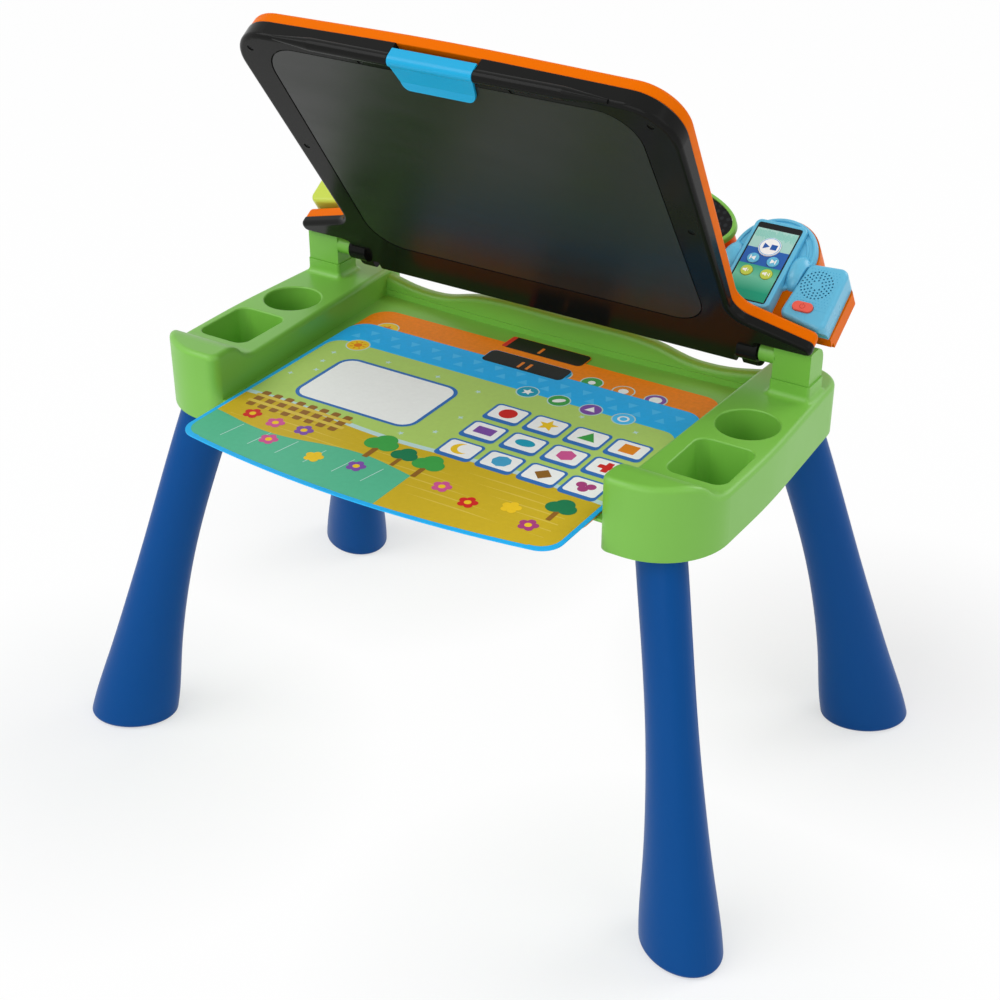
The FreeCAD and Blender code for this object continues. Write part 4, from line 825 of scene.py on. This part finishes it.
for i in range(30):
    x = -172 + 11.8 * i
    y = 238 + 13 * (i % 2)
    disc(page, x, y, 6.0, "wave", 1, sides=3, turn=math.pi * (i % 2))
for x, tone in ((30, "aqua"), (63, "leaf"), (96, "plum"), (129, "wave")):
    badge(page, x, BADGE_Y, tone)
star(page, 30, BADGE_Y, 6.0, "white", 5)
disc(page, 63, BADGE_Y, 6.4, "white", 5, squash=0.5, turn=0.7)
disc(page, 96, BADGE_Y, 6.0, "white", 5, sides=3)
disc(page, 129, BADGE_Y, 5.4, "white", 5)
disc(page, 129, BADGE_Y, 3.4, "wave", 6)
badge(page, SUN_X, SUN_Y, "sun", 12.0)
for i in range(8):
    angle = math.pi * i / 4
    ray_x = SUN_X + 6.6 * math.cos(angle)
    ray_y = SUN_Y + 6.6 * math.sin(angle)
    tile(page, ray_x, ray_y, 3.0, 1.3, 0.3, "amber", 5, turn=angle)
disc(page, SUN_X, SUN_Y, 4.0, "amber", 5)
tile(page, *TAB, "ink_black", 2)
for x in (-4.5, 4.5):
    tile(page, x, *STROKE, "amber", 3)
place_print(page, "upper_page_print", on_page("upper_page"), "upper_page")

# %% [markdown]
# The lower page is for counting: rows of cards with one to six dots, in orange. Most of it is covered until
# the upper page is taken away, but it has to be there. Its film has to stay thinner than the gap under the
# upper page, so its levels are low.

# %% Lower page
DOT_PLACES = ((0, 0), (-1, -1), (1, 1), (-1, 1), (1, -1), (0, 1.1))
DOT_TONES = ("red", "plum", "aqua", "tangerine", "pink", "leaf")
LOWER_BADGE_Y = 236
LOWER_SUN_Y = 232
page = bmesh.new()
tile(page, 0, 116, 362, 214, 14.0, "meadow", 1)
band(page, -172, 172, 10, 60, "lawn", 2, swell=5.0, waves=2.0, sag=PAGE_BOW)
for i in range(6):
    for row in range(2):
        x = -140 + 56 * i
        y = 172 - 72 * row
        tile(page, x, y, 46, 58, 6.0, "tangerine", 2.4)
        tile(page, x, y, 39, 51, 4.5, "white", 2.8)
        for dx, dy in DOT_PLACES[:i + 1]:
            disc(page, x + 11 * dx, y + 13 * dy, 5.0, DOT_TONES[(i + row) % 6], 3.3, sides=24)
for i, tone in enumerate(("aqua", "leaf", "tangerine", "plum")):
    x = 36 + 33 * i
    badge(page, x, LOWER_BADGE_Y, tone, 11.0, 2.4)
    disc(page, x, LOWER_BADGE_Y, 2.4 + 1.2 * i, "white", 3.8, sides=24)
badge(page, SUN_X, LOWER_SUN_Y, "sun", 12.0, 2.4)
star(page, SUN_X, LOWER_SUN_Y, 6.5, "amber", 3.8)
tile(page, *TAB, "ink_black", 2)
tile(page, -41, 270.4, 5.0, 24.0, 2.0, "red", 2.8)
tile(page, -4.5, *STROKE, "amber", 2.8)
place_print(page, "lower_page_print", on_page("lower_page"), "lower_page")

# %% [markdown]
# The keys carry the usual signs: play and stop, back and on, quieter and louder. They are stamped like the
# print, in a frame that lies on the key, so they go in and out with it. A ring of colour runs round the large
# key.

# %% Signs on the keys
UPRIGHT = Matrix.Rotation(math.pi / 2, 4, "X")
KEY_FACE = -0.8
KEY_SIDE = 9.45
PLAY_UP = 64.05
SKIP_UP = 49.1
LOUDNESS_UP = 34.8


def on_key(x, z):
    return PHONE @ Matrix.Translation((x * MM, KEY_FACE * MM, z * MM)) @ UPRIGHT


def arrow(sheet, x, y, size, tone, level, turn):
    disc(sheet, x, y, size, tone, level, sides=3, turn=turn)


sign = bmesh.new()
disc(sign, 0, 0, 9.6, "key_blue", 1, sides=64)
disc(sign, 0, 0, 9.0, "white", 2, sides=64)
arrow(sign, -3.9, 0, 3.9, "navy", 3, turn=-math.pi / 2)
tile(sign, 4.0, 0, 5.8, 5.8, 0.2, "navy", 3)
place_print(sign, "play_sign", on_key(0, PLAY_UP), "play_key")
for name, side in (("back", -1), ("next", 1)):
    sign = bmesh.new()
    arrow(sign, -0.6 * side, 0, 2.9, "white", 1, turn=-side * math.pi / 2)
    tile(sign, 2.6 * side, 0, 1.0, 4.8, 0.1, "white", 1)
    place_print(sign, name + "_sign", on_key(KEY_SIDE * side, SKIP_UP), name + "_key")
for name, side, waves in (("quieter", -1, 1), ("louder", 1, 2)):
    sign = bmesh.new()
    tile(sign, -2.7, 0, 1.8, 2.2, 0.1, "white", 1)
    arrow(sign, -1.2, 0, 2.6, "white", 1.5, turn=math.pi / 2)
    for i in range(waves):
        tile(sign, 1.3 + 1.5 * i, 0, 0.7, 2.2 + 1.6 * i, 0.3, "white", 1)
    place_print(sign, name + "_sign", on_key(KEY_SIDE * side, LOUDNESS_UP), name + "_key")
print("key signs made")

# %% [markdown]
# Round the speaker's holes the face has rows of tiny dimples that don't go through, and a fine line runs
# across it at the height of the power button. The dimples are not cut: each is a darker dot of painted shade,
# for the shade in a small recess. The left side of the face leans, so the rows start further in towards the
# top.

# %% Speaker face
SPEAKER_FACE = (250.0, -23.0, 54.3)
DIMPLE_PITCH = 2.8
DIMPLE_ROWS = 14
DIMPLES_LEFT = -17.5
DIMPLES_LOW = -12.6
HOLES_UP = 8.0
HOLES_RADIUS = 15.6
FACE_LEFT = -15.2
FACE_LEAN = 0.124
FACE_FOOT = -13
FACE_RIGHT = 17.0
LINE_UP = -16.5
LINE_WIDTH = 0.35


def on_front(x, y, z):
    """A frame on an upright face of the console, facing the child."""
    return LID @ Matrix.Translation((x * MM, y * MM, z * MM)) @ UPRIGHT


face = bmesh.new()
# Each darker dot is painted shade for one dimple; the two strips after the loop are the fine line.
for row in range(DIMPLE_ROWS):
    for column in range(DIMPLE_ROWS):
        x = DIMPLES_LEFT + DIMPLE_PITCH * column + DIMPLE_PITCH / 2 * (row % 2)
        z = DIMPLES_LOW + DIMPLE_PITCH * row
        outside = math.hypot(x, z - HOLES_UP) > HOLES_RADIUS
        if outside and FACE_LEFT + FACE_LEAN * (z - FACE_FOOT) < x < FACE_RIGHT:
            disc(face, x, z, 0.5, "deep_sky", 1, sides=8)
tile(face, -14.4, LINE_UP, 3.2, LINE_WIDTH, 0, "deep_sky", 1)
tile(face, 12.4, LINE_UP, 11.0, LINE_WIDTH, 0, "deep_sky", 1)
place_print(face, "speaker_dimples", on_front(*SPEAKER_FACE), "lid")

# %% [markdown]
# The power button has the usual sign, an open ring with a stroke. Bridge Loops spans the ring between two
# circles, and the faces at the top are deleted to open it.

# %% Power sign
BUTTON_FACE = (247.0, -25.0, 37.8)
RING_OUTER = 2.6
RING_INNER = 2.0
RING_STEPS = 32
RING_OPEN = 1.9
sign = bmesh.new()
outer = bmesh.ops.create_circle(sign, segments=RING_STEPS, radius=RING_OUTER * MM)["verts"]
inner = bmesh.ops.create_circle(sign, segments=RING_STEPS, radius=RING_INNER * MM)["verts"]
bmesh.ops.bridge_loops(sign, edges=sign.edges[:])
laid(outer + inner, "deep_coral", 1)
opening = [f for f in sign.faces if f.calc_center_median().y > RING_OPEN * MM]
bmesh.ops.delete(sign, geom=opening, context="FACES")
tile(sign, 0, 1.9, 0.6, 2.4, 0.2, "deep_coral", 1)
place_print(sign, "power_sign", on_front(*BUTTON_FACE), "power_button")

# %% [markdown]
# The arch that holds the phone has a raised rim and a second rib inside it. A small circle is spun round the
# arch's middle to make each of them: Spin is the operator for anything turned about an axis. A copy of the
# first circle and the last one are filled, so both ends are closed.

# %% Ribs of the phone holder
ARCH_MIDDLE = (198.0, -18.8, 86.0)
RIM_RADIUS = 36.6
RIM_THICKNESS = 1.9
RIB_RADIUS = 30.6
RIB_THICKNESS = 1.2
RIB_SIDES = 12
RIB_STEPS = 48
SAME_POINT = 0.000001


def rib(sheet, radius, thickness, start, end):
    where = Matrix.Translation((radius * MM, 0, 0)) @ UPRIGHT
    made = bmesh.ops.create_circle(sheet, segments=RIB_SIDES, radius=thickness * MM, matrix=where)["verts"]
    turn = Matrix.Rotation(math.radians(start), 3, "Z")
    bmesh.ops.rotate(sheet, verts=made, cent=(0, 0, 0), matrix=turn)
    circle = list(made) + list(dict.fromkeys(e for v in made for e in v.link_edges))
    first = bmesh.ops.duplicate(sheet, geom=circle)["geom"]
    bmesh.ops.contextual_create(sheet, geom=[e for e in first if isinstance(e, bmesh.types.BMEdge)])
    sweep_angle = math.radians(end) - math.radians(start)
    spun = bmesh.ops.spin(sheet, geom=circle, cent=(0, 0, 0), axis=(0, 0, 1), angle=sweep_angle,
                          steps=RIB_STEPS)
    last = [e for e in spun["geom_last"] if isinstance(e, bmesh.types.BMEdge)]
    bmesh.ops.contextual_create(sheet, geom=last)


ribs = bmesh.new()
rib(ribs, RIM_RADIUS, RIM_THICKNESS, start=-8, end=188)
rib(ribs, RIB_RADIUS, RIB_THICKNESS, start=4, end=44)
rib(ribs, RIB_RADIUS, RIB_THICKNESS, start=138, end=176)
bmesh.ops.remove_doubles(ribs, verts=ribs.verts[:], dist=SAME_POINT)
bmesh.ops.recalc_face_normals(ribs, faces=ribs.faces[:])
bmesh.ops.transform(ribs, matrix=on_front(*ARCH_MIDDLE), verts=ribs.verts[:])
sort_faces(ribs)
rib_mesh = bpy.data.meshes.new("holder_ribs")
ribs.to_mesh(rib_mesh)
ribs.free()
rib_mesh.shade_smooth()
rib_mesh.materials.append(finishes["sky_plastic"])
holder_ribs = bpy.data.objects.new("holder_ribs", rib_mesh)
scene.collection.objects.link(holder_ribs)
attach(holder_ribs, "lid")
print("ribs have", len(rib_mesh.polygons), "faces")

# %% [markdown]
# A screw head is plain until it has its cross. Two narrow stamps laid over each other make it, in black: painted
# # shade for the cross-shaped slot, which is a recess in the head.

# %% Crosses on the screws
DOWN = Matrix.Rotation(math.pi, 4, "X")
BACKWARD = Matrix.Rotation(-math.pi / 2, 4, "X")
CROSS_TURN = 0.6
LID_HEADS = ((190.0, -298.5), (193.5, -169.05), (72.0, -309.0))  # x and y of one side's screws
LID_HEAD_UP = -4.2
CONSOLE_HALF = 274.0
CONSOLE_HEADS = (-0.78, -0.25, 0.25, 0.78)  # shares of half the console's length
CONSOLE_HEAD_BACK = 16.2
CONSOLE_HEAD_UP = 61.5


def on_lid(x, y, z):
    return LID @ Matrix.Translation((x * MM, y * MM, z * MM))


def crosses(name, places, body):
    sheet = bmesh.new()
    for where in places:
        before = set(sheet.verts)
        # Two black strips make the cross: painted shade where the slot in the head lies.
        tile(sheet, 0, 0, 3.6, 0.9, 0.2, "ink_black", 0.6, turn=CROSS_TURN)
        tile(sheet, 0, 0, 3.6, 0.9, 0.2, "ink_black", 1.0, turn=CROSS_TURN + math.pi / 2)
        bmesh.ops.transform(sheet, matrix=where, verts=[v for v in sheet.verts if v not in before])
    place_print(sheet, name, Matrix.Identity(4), body)


lid_heads = [on_lid(x * side, y, LID_HEAD_UP) @ DOWN for x, y in LID_HEADS for side in (-1, 1)]
console_heads = [on_lid(CONSOLE_HALF * share, CONSOLE_HEAD_BACK, CONSOLE_HEAD_UP) @ BACKWARD
                 for share in CONSOLE_HEADS]
crosses("lid_screw_crosses", lid_heads, "lid")
crosses("console_screw_crosses", console_heads, "lid")
print("crosses made:", len(lid_heads) + len(console_heads))

# %% [markdown]
# Last, the box of the dressed table is compared with the CAD box: looks may not change the size of the
# object.

# %% Measure and finish
dressed_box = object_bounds()
grown = [round(abs(a - b) / MM, 2) for c, d in zip(cad_box, dressed_box) for a, b in zip(c, d)]
print("grown by", grown, "mm")
